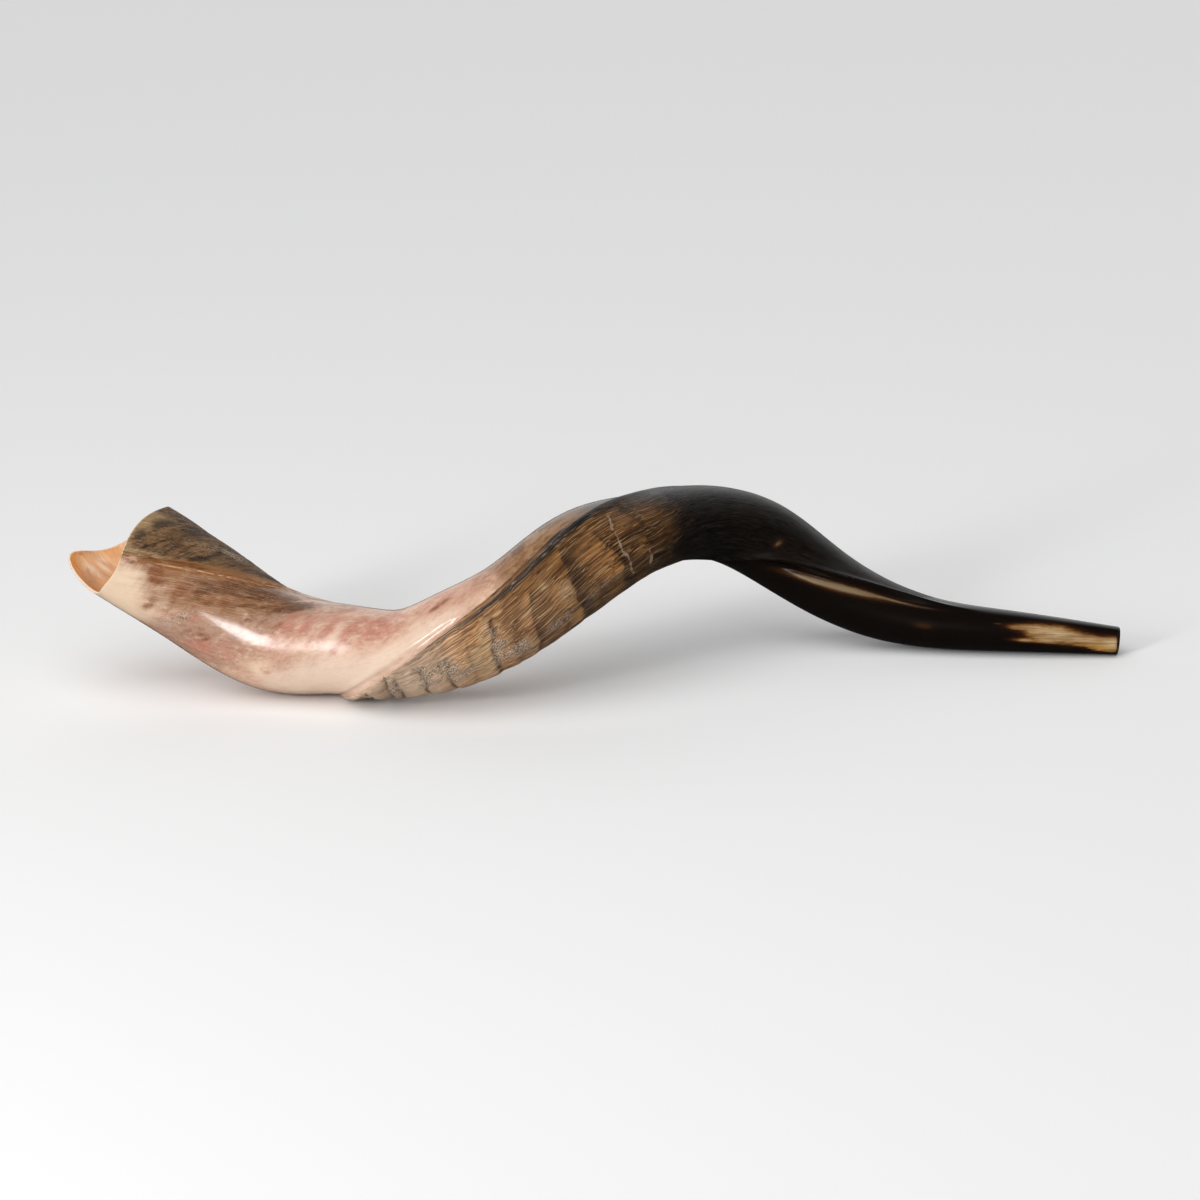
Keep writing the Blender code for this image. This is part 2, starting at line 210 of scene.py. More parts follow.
def ramp(value: Array, start: float, end: float) -> Array:
    """Rise from 0 at start to 1 at end, as p * p * (3 - 2 p) of the clamped part p of the way."""
    part = np.clip((value - start) / (end - start), 0, 1)
    return part * part * (3 - 2 * part)


def span(along: Array, low: float, high: float, soft: float) -> Array:
    """Be 1 from low to high and 0 outside, with a rise and a fall that are each soft long."""
    return ramp(along, low - soft / 2, low + soft / 2) * (1 - ramp(along, high - soft / 2, high + soft / 2))


def bump(offset: Array, width: float | Array) -> Array:
    """Be 1 where offset is 0 and fall away like a bell, as exp(-(offset / width) squared)."""
    return np.exp(-(offset / width) ** 2)


def short_turn(turn: Array) -> Array:
    """Bring a turn in degrees to between -180 and 180."""
    return (turn + 180) % 360 - 180


def short_lap(lap: Array) -> Array:
    """Bring a difference of laps to between -1 and 1."""
    return (lap + 1) % 2 - 1


def circle(radius: float, lap: Array) -> tuple[Array, Array]:
    """Go round a circle of a radius, once in two laps, as radius times the cosine and the sine."""
    return radius * np.cos(lap * math.pi), radius * np.sin(lap * math.pi)


def smooth_curve(knots: Array, values: Array, at: Array) -> Array:
    """Read the natural cubic spline through values at knots.

    The second derivatives at the knots solve the usual three-term equations, and are 0 at both ends.

    Args:
        knots: Rising places of the values.
        values: One row for each knot.
        at: Places to read, of any shape.

    Returns:
        The spline at those places, with a last axis where the values have one.
    """
    gap = np.diff(knots)
    system = np.eye(len(knots))
    right = np.zeros(values.shape)
    slope = np.diff(values, axis=0) / gap.reshape((-1,) + (1,) * (values.ndim - 1))
    for i in range(1, len(knots) - 1):
        system[i, i - 1:i + 2] = gap[i - 1], 2 * (gap[i - 1] + gap[i]), gap[i]
        right[i] = 6 * (slope[i] - slope[i - 1])
    bend = np.linalg.solve(system, right)
    i = np.clip(np.searchsorted(knots, at) - 1, 0, len(knots) - 2)
    spread = at.shape + (1,) * (values.ndim - 1)
    width = gap[i].reshape(spread)
    low = ((knots[i + 1] - at) / gap[i]).reshape(spread)
    high = ((at - knots[i]) / gap[i]).reshape(spread)
    curve = low * values[i] + high * values[i + 1]
    return curve + ((low ** 3 - low) * bend[i] + (high ** 3 - high) * bend[i + 1]) * width ** 2 / 6


def read_table(table: dict[float, float], at: Array) -> Array:
    """Read the natural cubic spline through a table of values by their places."""
    return smooth_curve(np.array(list(table), float), np.array(list(table.values()), float), at)


def joined(rows: tuple[tuple, ...], along: Array, lap: Array) -> Array:
    """Join overlapping stains, as one less the product of what each leaves."""
    return 1 - np.prod([1 - Mark(*row).read(along, lap) for row in rows], axis=0)


@dataclass
class Lattice:
    """Smooth noise between 0 and 1 on a seeded lattice of random values that repeats."""

    seed: int
    size: int = 64
    values: Array = field(init=False)

    def __post_init__(self) -> None:
        """Draw the lattice's values."""
        self.values = np.random.default_rng(self.seed).random((self.size,) * 3)

    def read(self, x: Array, y: Array, z: Array) -> Array:
        """Mix the eight values round each point by its smoothed parts of the way across the cell.

        Args:
            x: First coordinate, in cells.
            y: Second coordinate, in cells.
            z: Third coordinate, in cells.

        Returns:
            The noise at each point.
        """
        place = np.stack(np.broadcast_arrays(x, y, z))
        cell = np.floor(place).astype(int)
        part = place - cell
        part = part * part * (3 - 2 * part)
        total = np.zeros(place.shape[1:])
        for corner in np.ndindex(2, 2, 2):
            weight = np.prod([part[k] if corner[k] else 1 - part[k] for k in range(3)], axis=0)
            i, j, k = ((cell[n] + corner[n]) % self.size for n in range(3))
            total += weight * self.values[i, j, k]
        return total

    def layered(self, x: Array, y: Array, z: Array, layers: int = 3) -> Array:
        """Add layers of noise up to 1, each half as large and half as strong as the one before."""
        total = sum(self.read(x * 2 ** n, y * 2 ** n, z * 2 ** n) * 0.5 ** n for n in range(layers))
        return total / sum(0.5 ** n for n in range(layers))


@dataclass
class HornForm:
    """Course, section and lie of the horn, as the model has them."""

    # Along, up, near, longer and shorter half width, turn of the ridge and turn of the keel.
    stations: Array = field(default_factory=lambda: np.array([
        (-410, 69.0, -42, 43.0, 42.0, -24, 60),
        (-353, 32.5, -45, 43.5, 43.0, 0, 92),
        (-304, 1.8, -41, 43.0, 41.5, 31, 134),
        (-251, -29.5, -27, 41.0, 40.0, 84, 196),
        (-198, -37.0, -3, 37.0, 34.8, 120, 258),
        (-152, -39.5, 21, 32.5, 33.0, 160, 326),
        (-106, -26.8, 41, 36.2, 33.0, 188, 366),
        (-61, -3.2, 50, 36.8, 34.0, 203, 383),
        (-8, 35.0, 43, 39.0, 33.0, 218, 406),
        (34, 51.3, 21, 34.5, 29.5, 240, 441),
        (76, 58.8, -5, 31.0, 27.5, 264, 480),
        (122, 46.8, -30, 30.5, 26.5, 332, 528),
        (167, 17.5, -40, 28.0, 24.5, 374, 566),
        (213, -6.5, -32, 24.5, 22.5, 402, 594),
        (258, -18.2, -15, 19.5, 19.0, 413, 604),
        (304, -23.0, 1, 16.5, 16.3, 416, 606),
        (391, -30.8, 24, 10.8, 10.8, 418, 608),
    ], dtype=float))
    # How far the rim reaches past the bell's base, by the turn round from the ridge.
    bell_base: float = -353.0
    rim_reach: dict[int, float] = field(default_factory=lambda: {
        10: 13, 45: 13, 72: 7, 100: 4, 140: 9, 190: 22, 219: 35, 249: 49, 268: 34, 285: 17, 307: 12,
        340: 9})
    reach_to_along: float = 0.857
    wall: dict[int, float] = field(default_factory=lambda: {
        -410: 2.3, -228: 2.8, -76: 3.8, 76: 5.8, 167: 8.8, 213: 11.5, 304: 11.4, 391: 6.5})
    cup_depth: float = 12.0
    cup_radius: float = 7.6
    # The whole skin lies this far inside the model's smooth form, so that no part of it stands out.
    inset: float = 0.28
    # Turn of the fibres, which wind more evenly than the ridge does, at places along the horn.
    fibre_turns: dict[int, float] = field(default_factory=lambda: {
        -410: -126, -300: -60, -200: 0, -150: 26, -100: 53, -50: 71, 0: 88, 50: 112, 100: 138,
        250: 196, 391: 240})
    course_step: float = 0.01
    run_margin: float = 5.0
    rest_roll: float = 18.16
    rest_slope: float = 4.27
    rest_place: Triple = (10.15, -10.7, 60.15)

    @property
    def end(self) -> float:
        """Place of the mouthpiece's end along the horn."""
        return self.stations[-1, 0]

    def station(self, along: Array) -> Array:
        """Station values at places along the horn, on the smooth curve through the stations."""
        return smooth_curve(self.stations[:, 0], self.stations, along)

    def keel_turn(self, along: Array) -> Array:
        """Turn from the ridge round to the keel, in degrees."""
        station = self.station(along)
        return station[..., 6] - station[..., 5]

    def turn(self, along: Array, lap: Array) -> Array:
        """Turn from the ridge: laps 0 to 1 share the turn to the keel, and laps 1 to 2 the rest."""
        keel = self.keel_turn(along)
        return np.where(lap <= 1, lap * keel, keel + (lap - 1) * (360 - keel))

    def rim(self, lap: Array) -> Array:
        """Place of the bell's wavy rim, on the smooth curve through its reaches.

        Args:
            lap: Laps round the horn.

        Returns:
            Places along the horn.
        """
        turn = self.turn(np.array(self.bell_base), lap) % 360
        reaches = {at + wrap: reach for wrap in (-360, 0, 360) for at, reach in self.rim_reach.items()}
        return self.bell_base - self.reach_to_along * read_table(reaches, turn)

    def oval(self, along: Array, turn: Array, inset: float | Array = 0.0) -> Array:
        """Radius of the oval section, whose longer axis lies midway from ridge to keel.

        It is one over the length of (cos / longer half, sin / shorter half) of the turn from that axis.

        Args:
            along: Places along the horn.
            turn: Turns from the ridge.
            inset: How far the oval is drawn in.

        Returns:
            The radius in millimetres.
        """
        station = self.station(along)
        off = np.radians(turn - (station[..., 6] - station[..., 5]) / 2)
        return 1 / np.hypot(np.cos(off) / (station[..., 3] - inset), np.sin(off) / (station[..., 4] - inset))

    def bore(self, along: Array, turn: Array) -> Array:
        """Radius of the hollow: the oval less the wall, opened to the cup by a quarter sine wave.

        Args:
            along: Places along the horn.
            turn: Turns from the ridge.

        Returns:
            The radius in millimetres.
        """
        hollow = self.oval(along, turn, read_table(self.wall, along))
        into_cup = np.clip((along - self.end + self.cup_depth) / self.cup_depth, 0, 1)
        return hollow + np.clip(self.cup_radius - hollow, 0, None) * np.sin(into_cup * math.pi / 2)

    def course(self, along: Array) -> tuple[Array, Array]:
        """Middle line and its direction.

        Args:
            along: Places along the horn.

        Returns:
            Points of the middle line, and unit vectors along it.
        """
        line = self.stations[:, 0], self.stations[:, :3]
        ahead = smooth_curve(*line, along + self.course_step)
        direction = ahead - smooth_curve(*line, along - self.course_step)
        return smooth_curve(*line, along), direction / np.linalg.norm(direction, axis=-1, keepdims=True)

    def points(self, along: Array, turn: Array, radius: Array) -> Array:
        """Points on sections square to the middle line.

        A point is the middle plus radius times (cos facing + sin upward) of its turn from the viewer.

        Args:
            along: Places along the horn.
            turn: Turns from the ridge.
            radius: Distances from the middle line.

        Returns:
            The points in the side view.
        """
        middle, direction = self.course(along)
        facing = np.array([0.0, 0.0, 1.0]) - direction * direction[..., 2:3]
        facing /= np.linalg.norm(facing, axis=-1, keepdims=True)
        upward = np.cross(facing, direction)
        angle = np.radians(turn + self.station(along)[..., 5])[..., None]
        return middle + radius[..., None] * (np.cos(angle) * facing + np.sin(angle) * upward)

    def run(self, along: Array) -> Array:
        """Length of the middle line from a little before the first station.

        Args:
            along: Places along the horn.

        Returns:
            The length in millimetres, added up over steps of one.
        """
        steps = np.arange(self.stations[0, 0] - self.run_margin, self.end + self.run_margin)
        middle = self.course(steps)[0]
        length = np.append(0, np.cumsum(np.linalg.norm(np.diff(middle, axis=0), axis=1)))
        return np.interp(along, steps, length)

    def grain(self, along: Array, turn: Array) -> tuple[Array, Array, Array]:
        """Lay the horn straight and undo its fibres' winding: its run, and a circle of fixed size."""
        fibre = np.radians(turn + self.station(along)[..., 5] - read_table(self.fibre_turns, along))
        return self.run(along), GRAIN_RADIUS * np.cos(fibre), GRAIN_RADIUS * np.sin(fibre)

    def rest(self) -> Matrix:
        """Turn from the side view to the way the horn lies."""
        roll, slope = math.radians(-self.rest_roll), math.radians(self.rest_slope)
        return Matrix.Rotation(roll, 3, "X") @ Matrix.Rotation(slope, 3, "Y") @ SIDE_VIEW

    def laid_down(self, points: Array) -> Array:
        """Points at rest, in metres."""
        return (points @ np.array(self.rest()).T + np.array(self.rest_place)) * MM


@dataclass(frozen=True)
class Seam:
    """A growth ring's groove across the growth, or an old crack.

    It runs through places along the horn at rising laps, and its groove has its own width before and
    after that line.  A ring may begin a dark band (shade) after it and end a pale one (glow) before it.
    """

    laps: tuple[float, ...]
    alongs: tuple[float, ...]
    depth: float = 0.5
    shade: float = 0.0
    shade_long: float = 9.0
    glow: float = 0.0
    glow_long: float = 9.0
    before: float = 3.5
    after: float = 1.4

    def offset(self, along: Array, lap: Array) -> Array:
        """Distance past the line, along the horn."""
        return along - np.interp(lap, self.laps, self.alongs)

    def share(self, lap: Array) -> Array:
        """Be 1 between the line's ends, and die out just inside them."""
        start, end = self.laps[0], self.laps[-1]
        return ramp(lap, start, start + 0.07) * (1 - ramp(lap, end - 0.05, end))

    def past_ends(self, lap: Array, girth: float = 60.0) -> Array:
        """Distance round the horn past the line's ends, for a girth of so many millimetres to a lap."""
        return girth * np.maximum(np.maximum(self.laps[0] - lap, lap - self.laps[-1]), 0)

    def groove(self, along: Array, lap: Array) -> Array:
        """Depth of the groove: half a bell on each side of the line, each with its own width."""
        off = self.offset(along, lap)
        return self.depth * self.share(lap) * bump(off, np.where(off < 0, self.before, self.after))

    def bottom(self, along: Array, lap: Array) -> Array:
        """Painted shade: be 1 in the bottom of a deep groove, which lies just past the line."""
        return self.share(lap) * min(self.depth, 1) * bump(self.offset(along, lap) - 0.3, 1.3)

    def tones(self, along: Array, lap: Array) -> tuple[Array, Array]:
        """Strength of the pale band before the line and of the dark one after it.

        Args:
            along: Places along the horn.
            lap: Laps round it.

        Returns:
            The pale band, as exp(-(distance / length) squared) before the line and cut off after
            it, and the dark one, as exp(-distance / length) after the line.
        """
        off, share = self.offset(along, lap), self.share(lap)
        pale = share * self.glow * bump(np.minimum(off + 1.5, 0), self.glow_long) * ramp(off, 1.0, -1.5)
        dark = share * self.shade * np.exp(-np.maximum(off, 0) / self.shade_long) * ramp(off, -1.5, 0.5)
        return pale, dark


@dataclass
class HornRelief:
    """Heights of the skin over the oval section: ridge, keel, growth rings, fibres and grinding."""

    form: HornForm
    step_base: float = 0.4
    step_proud: float = 2.2
    step_far: float = 0.8
    step_soft: float = 34.0
    step_width: float = 6.0
    keel_swell: float = 1.2
    keel_swell_proud: float = 0.8
    ridge_height: float = 1.0
    ridge_pinch: float = 2.3
    ridge_width: float = 7.0
    groove_depth: float = 0.6
    groove_pinch: float = 2.0
    channel_depth: float = 1.0
    span_soft: float = 62.0
    swell_height: float = 0.7
    fibre_height: float = 0.32
    crust_height: float = 0.5
    wear_height: float = 0.1
    wander_reach: float = 5.0
    crack_wander: float = 0.35
    crest_height: float = 0.9
    crest_hollow: float = 0.3
    crest_span: Pair = (-186, -92)
    line_span: Pair = (-345, -235)
    fade_out: Pair = (235, 300)
    ridge_drops: tuple[Pair, ...] = (
        (-360, 0.5), (-340, 2.0), (-310, 3.0), (-290, 6.0), (-272, 8.5), (-250, 6.0), (-225, 2.0))
    seams: tuple[Seam, ...] = tuple(Seam(*row) for row in SEAMS)
    cracks: tuple[Seam, ...] = tuple(Seam(*row) for row in CRACKS)

    def fade(self, along: Array) -> Array:
        """Be 1 down the horn and 0 at the round mouthpiece, where ridge and keel have died out."""
        return 1 - ramp(along, *self.fade_out)

    def built(self, along: Array, turn: Array, keel_turn: Array) -> Array:
        """Height of the ridge, its grooves and the keel's step, as the model has them.

        Each is a bell-shaped bump round its line, stronger where the horn is pinched or proud.

        Args:
            along: Places along the horn.
            turn: Turns from the ridge.
            keel_turn: Turn of the keel at those places.

        Returns:
            The height in millimetres.
        """
        from_ridge = short_turn(turn)
        proud = span(along, -195, 14, self.step_soft)
        step = self.step_base + self.step_proud * proud + self.step_far * span(along, 14, 250, self.step_soft)
        edge = 1 - ramp(turn - keel_turn, 0, self.step_width)
        height = step * np.where(turn <= keel_turn, ramp(turn / keel_turn, 0, 0.5), edge)
        swell = self.keel_swell + self.keel_swell_proud * proud
        height += swell * bump(short_turn(turn - keel_turn) + 5, 9)
        pinch = self.ridge_pinch * span(along, 110, 260, self.span_soft)
        height += (self.ridge_height + pinch) * bump(from_ridge, self.ridge_width)
        pinch = self.groove_pinch * span(along, 105, 245, self.span_soft)
        height -= (self.groove_depth + pinch) * bump(from_ridge + 13, 9)
        height -= self.channel_depth * span(along, 20, 160, self.span_soft) * bump(from_ridge - 18, 12)
        return height * self.fade(along)

    def wander(self, along: Array, lap: Array) -> Array:
        """Places moved a little along the horn by noise, so that nothing read at them runs straight."""
        return along + self.wander_reach * (Lattice(23).layered(along / 19, *circle(5, lap), 3) - 0.5)

    def ring_values(self, along: Array, lap: Array) -> tuple[Array, Array, Array]:
        """Strongest of all growth rings at places on the skin.

        Args:
            along: Places along the horn.
            lap: Laps round it.

        Returns:
            The pale band, the dark band, and painted shade that is 1 in the bottom of a deep groove.
        """
        moved = self.wander(along, lap)
        tones = [seam.tones(moved, lap) for seam in self.seams]
        groove_shades = [seam.bottom(moved, lap) for seam in self.seams]
        return (*(np.max([tone[n] for tone in tones], axis=0) for n in range(2)), np.max(groove_shades, axis=0))

    def crack_away(self, along: Array, lap: Array) -> Array:
        """Distance from the nearest old crack, beside it and past its ends.

        Args:
            along: Places along the horn.
            lap: Laps round it.

        Returns:
            The distance in millimetres.
        """
        moved = along + self.crack_wander * (self.wander(along, lap) - along)
        away = [np.hypot(crack.offset(moved, lap), crack.past_ends(lap)) for crack in self.cracks]
        return np.min(away, axis=0)

    def carved(self, along: Array, lap: Array, turn: Array) -> Array:
        """Fine relief that the model leaves out: rings, fibres and crust on the growth, and grinding.

        Args:
            along: Places along the horn.
            lap: Laps round it.
            turn: Turns from the ridge.

        Returns:
            The height in millimetres.
        """
        noise = Lattice(11)
        run, over, beside = self.form.grain(along, turn)
        x, y = circle(GRAIN_RADIUS, lap)
        growth = ramp(lap, 0.0, 0.14) * (1 - ramp(lap, 0.985, 1.0)) * (lap <= 1)
        rough = growth * (0.25 + 0.75 * span(along, -190, 60, 60)) * self.fade(along)
        moved = self.wander(along, lap)
        rings = np.max([seam.groove(moved, lap) for seam in self.seams], axis=0) * self.fade(along)
        fibres = noise.layered(run / 40, over / 3.2, beside / 3.2, 2) - 0.5
        crusty = ramp(noise.layered(run / 16, x / 14 + 9, y / 14, 2), 0.45, 0.65)
        crust = (noise.layered(run / 2.2, x / 2.2, y / 2.2 + 5, 2) - 0.7) * crusty
        lumps = noise.layered(run / 13, x / 17, y / 17 + 7, 2) - 0.5
        wear = noise.layered(run / 34, x / 22 + 3, y / 22, 2) - 1
        rough_height = self.fibre_height * fibres + self.crust_height * crust + self.swell_height * lumps
        return rough * rough_height - growth * rings + (1 - growth) * self.wear_height * wear

    def crest(self, along: Array, turn: Array, keel_turn: Array) -> Array:
        """Crest that the grinding wheel left beside the keel, with a hollow between the two.

        Args:
            along: Places along the horn.
            turn: Turns from the ridge.
            keel_turn: Turn of the keel at those places.

        Returns:
            The height in millimetres, as two bell-shaped bumps beside the keel.
        """
        from_keel = short_turn(turn - keel_turn)
        crest = self.crest_height * bump(from_keel - 15, 5) - self.crest_hollow * bump(from_keel - 8, 4)
        return span(along, *self.crest_span, 40) * crest

    def ridge_drop(self, along: Array) -> Array:
        """Degrees by which the bell's ridge line, painted pale as its crest's highlight, runs on the ground
        side of the ridge.
        """
        return np.interp(along, *zip(*self.ridge_drops))

    def bell_lines(self, along: Array, turn: Array) -> Array:
        """Fine grooves on both sides of the bell's ridge, which leave it standing as a thin line.

        Args:
            along: Places along the horn.
            turn: Turns from the ridge.

        Returns:
            The height in millimetres, as three bell-shaped bumps that waver along the horn.
        """
        off = short_turn(turn) + self.ridge_drop(along) + 0.8 * np.sin(along / 9)
        grooves = 0.5 * bump(off - 2.6, 1.3) + 0.45 * bump(off + 2.6, 1.3) + 0.3 * bump(off + 6.5, 1.2)
        return -span(along, *self.line_span, 30) * grooves

    def height(self, along: Array, lap: Array) -> Array:
        """Height of the whole skin over the oval section.

        Args:
            along: Places along the horn.
            lap: Laps round it.

        Returns:
            The height in millimetres.
        """
        turn, keel_turn = self.form.turn(along, lap), self.form.keel_turn(along)
        fine = self.carved(along, lap, turn) + self.crest(along, turn, keel_turn)
        fine += self.bell_lines(along, turn)
        return self.built(along, turn, keel_turn) + fine - self.form.inset


@dataclass(frozen=True)
class Mark:
    """A soft oval stain: its middle, half length along the horn, half width in laps and strength.

    Lean moves it along by so many millimetres to a lap, and drift round by so many laps to a
    millimetre, so that short stains follow the rings and long ones the fibres.
    """

    along: float
    lap: float
    long_half: float
    lap_half: float
    strength: float = 1.0
    lean: float = 0.0
    drift: float = 0.0

    def read(self, along: Array, lap: Array) -> Array:
        """Strength of the stain, which fades outwards as exp(-(distance squared)).

        Args:
            along: Places along the horn.
            lap: Laps round it.

        Returns:
            The strength.
        """
        off = short_lap(lap - self.lap - self.drift * (along - self.along))
        distance = np.hypot((along - self.along - self.lean * off) / self.long_half, off / self.lap_half)
        return self.strength * np.exp(-distance ** 2)


@dataclass(frozen=True)
class HornStains:
    """Where the skin's stains lie, measured along the horn in millimetres and round it in laps."""

    marks: dict[Tone, tuple[tuple, ...]] = field(default_factory=lambda: MARKS)
    black_from: float = 30.0
    black_fade: Pair = (-42, 54)

    def black(self, along: Array, lap: Array) -> Array:
        """Black of the horn's far half, which starts sooner beside the keel and on the ground skin.

        Args:
            along: Places along the horn.
            lap: Laps round it.

        Returns:
            The strength from 0 to 1.
        """
        keel, ground = 24 * bump(short_lap(lap - 1.0), 0.2), 22 * bump(short_lap(lap - 1.5), 0.4)
        start = self.black_from - keel - ground - 12 * bump(lap - 0.4, 0.2)
        return ramp(along, start + self.black_fade[0], start + self.black_fade[1])

    def read(self, tone: Tone, along: Array, lap: Array) -> Array:
        """Strength of one stain over the skin, from 0 to 1."""
        strength = joined(self.marks[tone], along, lap)
        return 1 - (1 - strength) * (1 - self.black(along, lap)) if tone is Tone.BLACK else strength


@dataclass
class SkinGrid:
    """Rows and columns of the closed skin: down the outside, round the mouthpiece and up the hollow."""

    form: HornForm
    relief: HornRelief
    outer_rows: int = 520
    inner_rows: int = 104
    growth_columns: int = 92
    ground_columns: int = 58
    tight: float = 0.45
    rim_steps: int = 6
    rim_flat: float = 0.9
    rim_blend: float = 30.0
    even_steps: int = 2000
    # How much denser the rows are among the growth rings and along the bell.
    ring_weight: float = 0.7
    bell_weight: float = 0.2
    end_steps: int = 7
    end_round: float = 1.6
    cup_rows: tuple[float, ...] = (0.0, 0.08, 0.2, 0.35, 0.5, 0.65, 0.8, 0.92)

    def laps(self) -> Array:
        """Laps of the columns, closer together beside the ridge and the keel.

        Each half's even parts p are moved to p - tight * sin(2 pi p) / (2 pi).

        Returns:
            One lap for each column.
        """
        parts = [np.arange(columns) / columns for columns in (self.growth_columns, self.ground_columns)]
        halves = [part - self.tight * np.sin(2 * math.pi * part) / (2 * math.pi) for part in parts]
        return np.concatenate([halves[0], 1 + halves[1]])

    def outer_parts(self) -> Array:
        """Parts of the way from rim to end for the outer rows, closer together among the growth rings.

        Returns:
            One part for each row, the last where the end's rounding starts.
        """
        even, length = np.linspace(0, 1, self.even_steps), self.form.end - self.form.bell_base
        along = self.form.bell_base + length * even
        weight = 1 + self.ring_weight * span(along, -190, 25, 60)
        weight += self.bell_weight * span(along, -400, -190, 60)
        reached = np.append(0, np.cumsum((weight[1:] + weight[:-1]) / 2))
        parts = np.interp(np.linspace(0, reached[-1], self.outer_rows), reached, even)
        return parts * (1 - self.end_round / length)

    def skin_along(self, part: Array, lap: Array) -> Array:
        """Places along the horn for parts of the way from the wavy rim to the straight end."""
        rim = self.form.rim(lap)
        return rim + (self.form.end - rim) * part

    def rows(self) -> tuple[Array, Array, Array]:
        """All rows of the closed skin.

        The end's lip is a quarter circle from the skin to the flat ring, and the rim's lip a half
        circle from the hollow to the skin: each moves along by the sine and in by the cosine.

        Returns:
            Place along, radius and a flag that is 1 on the outside and 0 in the hollow, by row and
            column.
        """
        form, lap = self.form, self.laps()[None, :]
        along = self.skin_along(self.outer_parts()[:, None], lap)
        radius = form.oval(along, form.turn(along, lap)) + self.relief.height(along, lap)
        arc = np.radians(np.linspace(90, 0, self.end_steps + 1)[1:])[:, None]
        end_along = along[-1] + self.end_round * np.cos(arc)
        end_radius = radius[-1] - self.end_round * (1 - np.sin(arc))
        cup = 1 - form.cup_depth * np.array(self.cup_rows) / (form.end - form.bell_base)
        down = np.concatenate([cup, np.linspace(cup[-1], 0, self.inner_rows + 1)[1:]])[:, None]
        inner_along = self.skin_along(down, lap)
        inner_radius = form.bore(inner_along, form.turn(inner_along, lap))
        lip = np.radians(np.linspace(-90, 90, self.rim_steps + 2)[1:-1])[:, None]
        half = (radius[0] - inner_radius[-1]) / 2
        shift = self.rim_flat * half
        lip_along = along[0] - shift * np.cos(lip)
        lip_radius = (radius[0] + inner_radius[-1]) / 2 + half * np.sin(lip)
        outside = np.concatenate([np.full(len(part), flag) for part, flag in (
            (along, 1.0), (end_along, 1.0), (inner_along, 0.0), (lip_along, 1.0))])
        along = along + shift * (1 - ramp(along - along[0], 0, self.rim_blend))
        inner_along = inner_along + shift * (1 - ramp(inner_along - inner_along[-1], 0, self.rim_blend))
        places = np.concatenate([along, end_along, inner_along, lip_along + shift])
        radii = np.concatenate([radius, end_radius, inner_radius, lip_radius])
        return places, radii, np.broadcast_to(outside[:, None], places.shape)


def add_object(name: str, data: bpy.types.ID) -> bpy.types.Object:
    """Put a new object in the scene.

    Args:
        name: Its name.
        data: Its mesh, lamp or lens.

    Returns:
        The object, at the origin.
    """
    made = bpy.data.objects.new(name, data)
    bpy.context.scene.collection.objects.link(made)
    return made


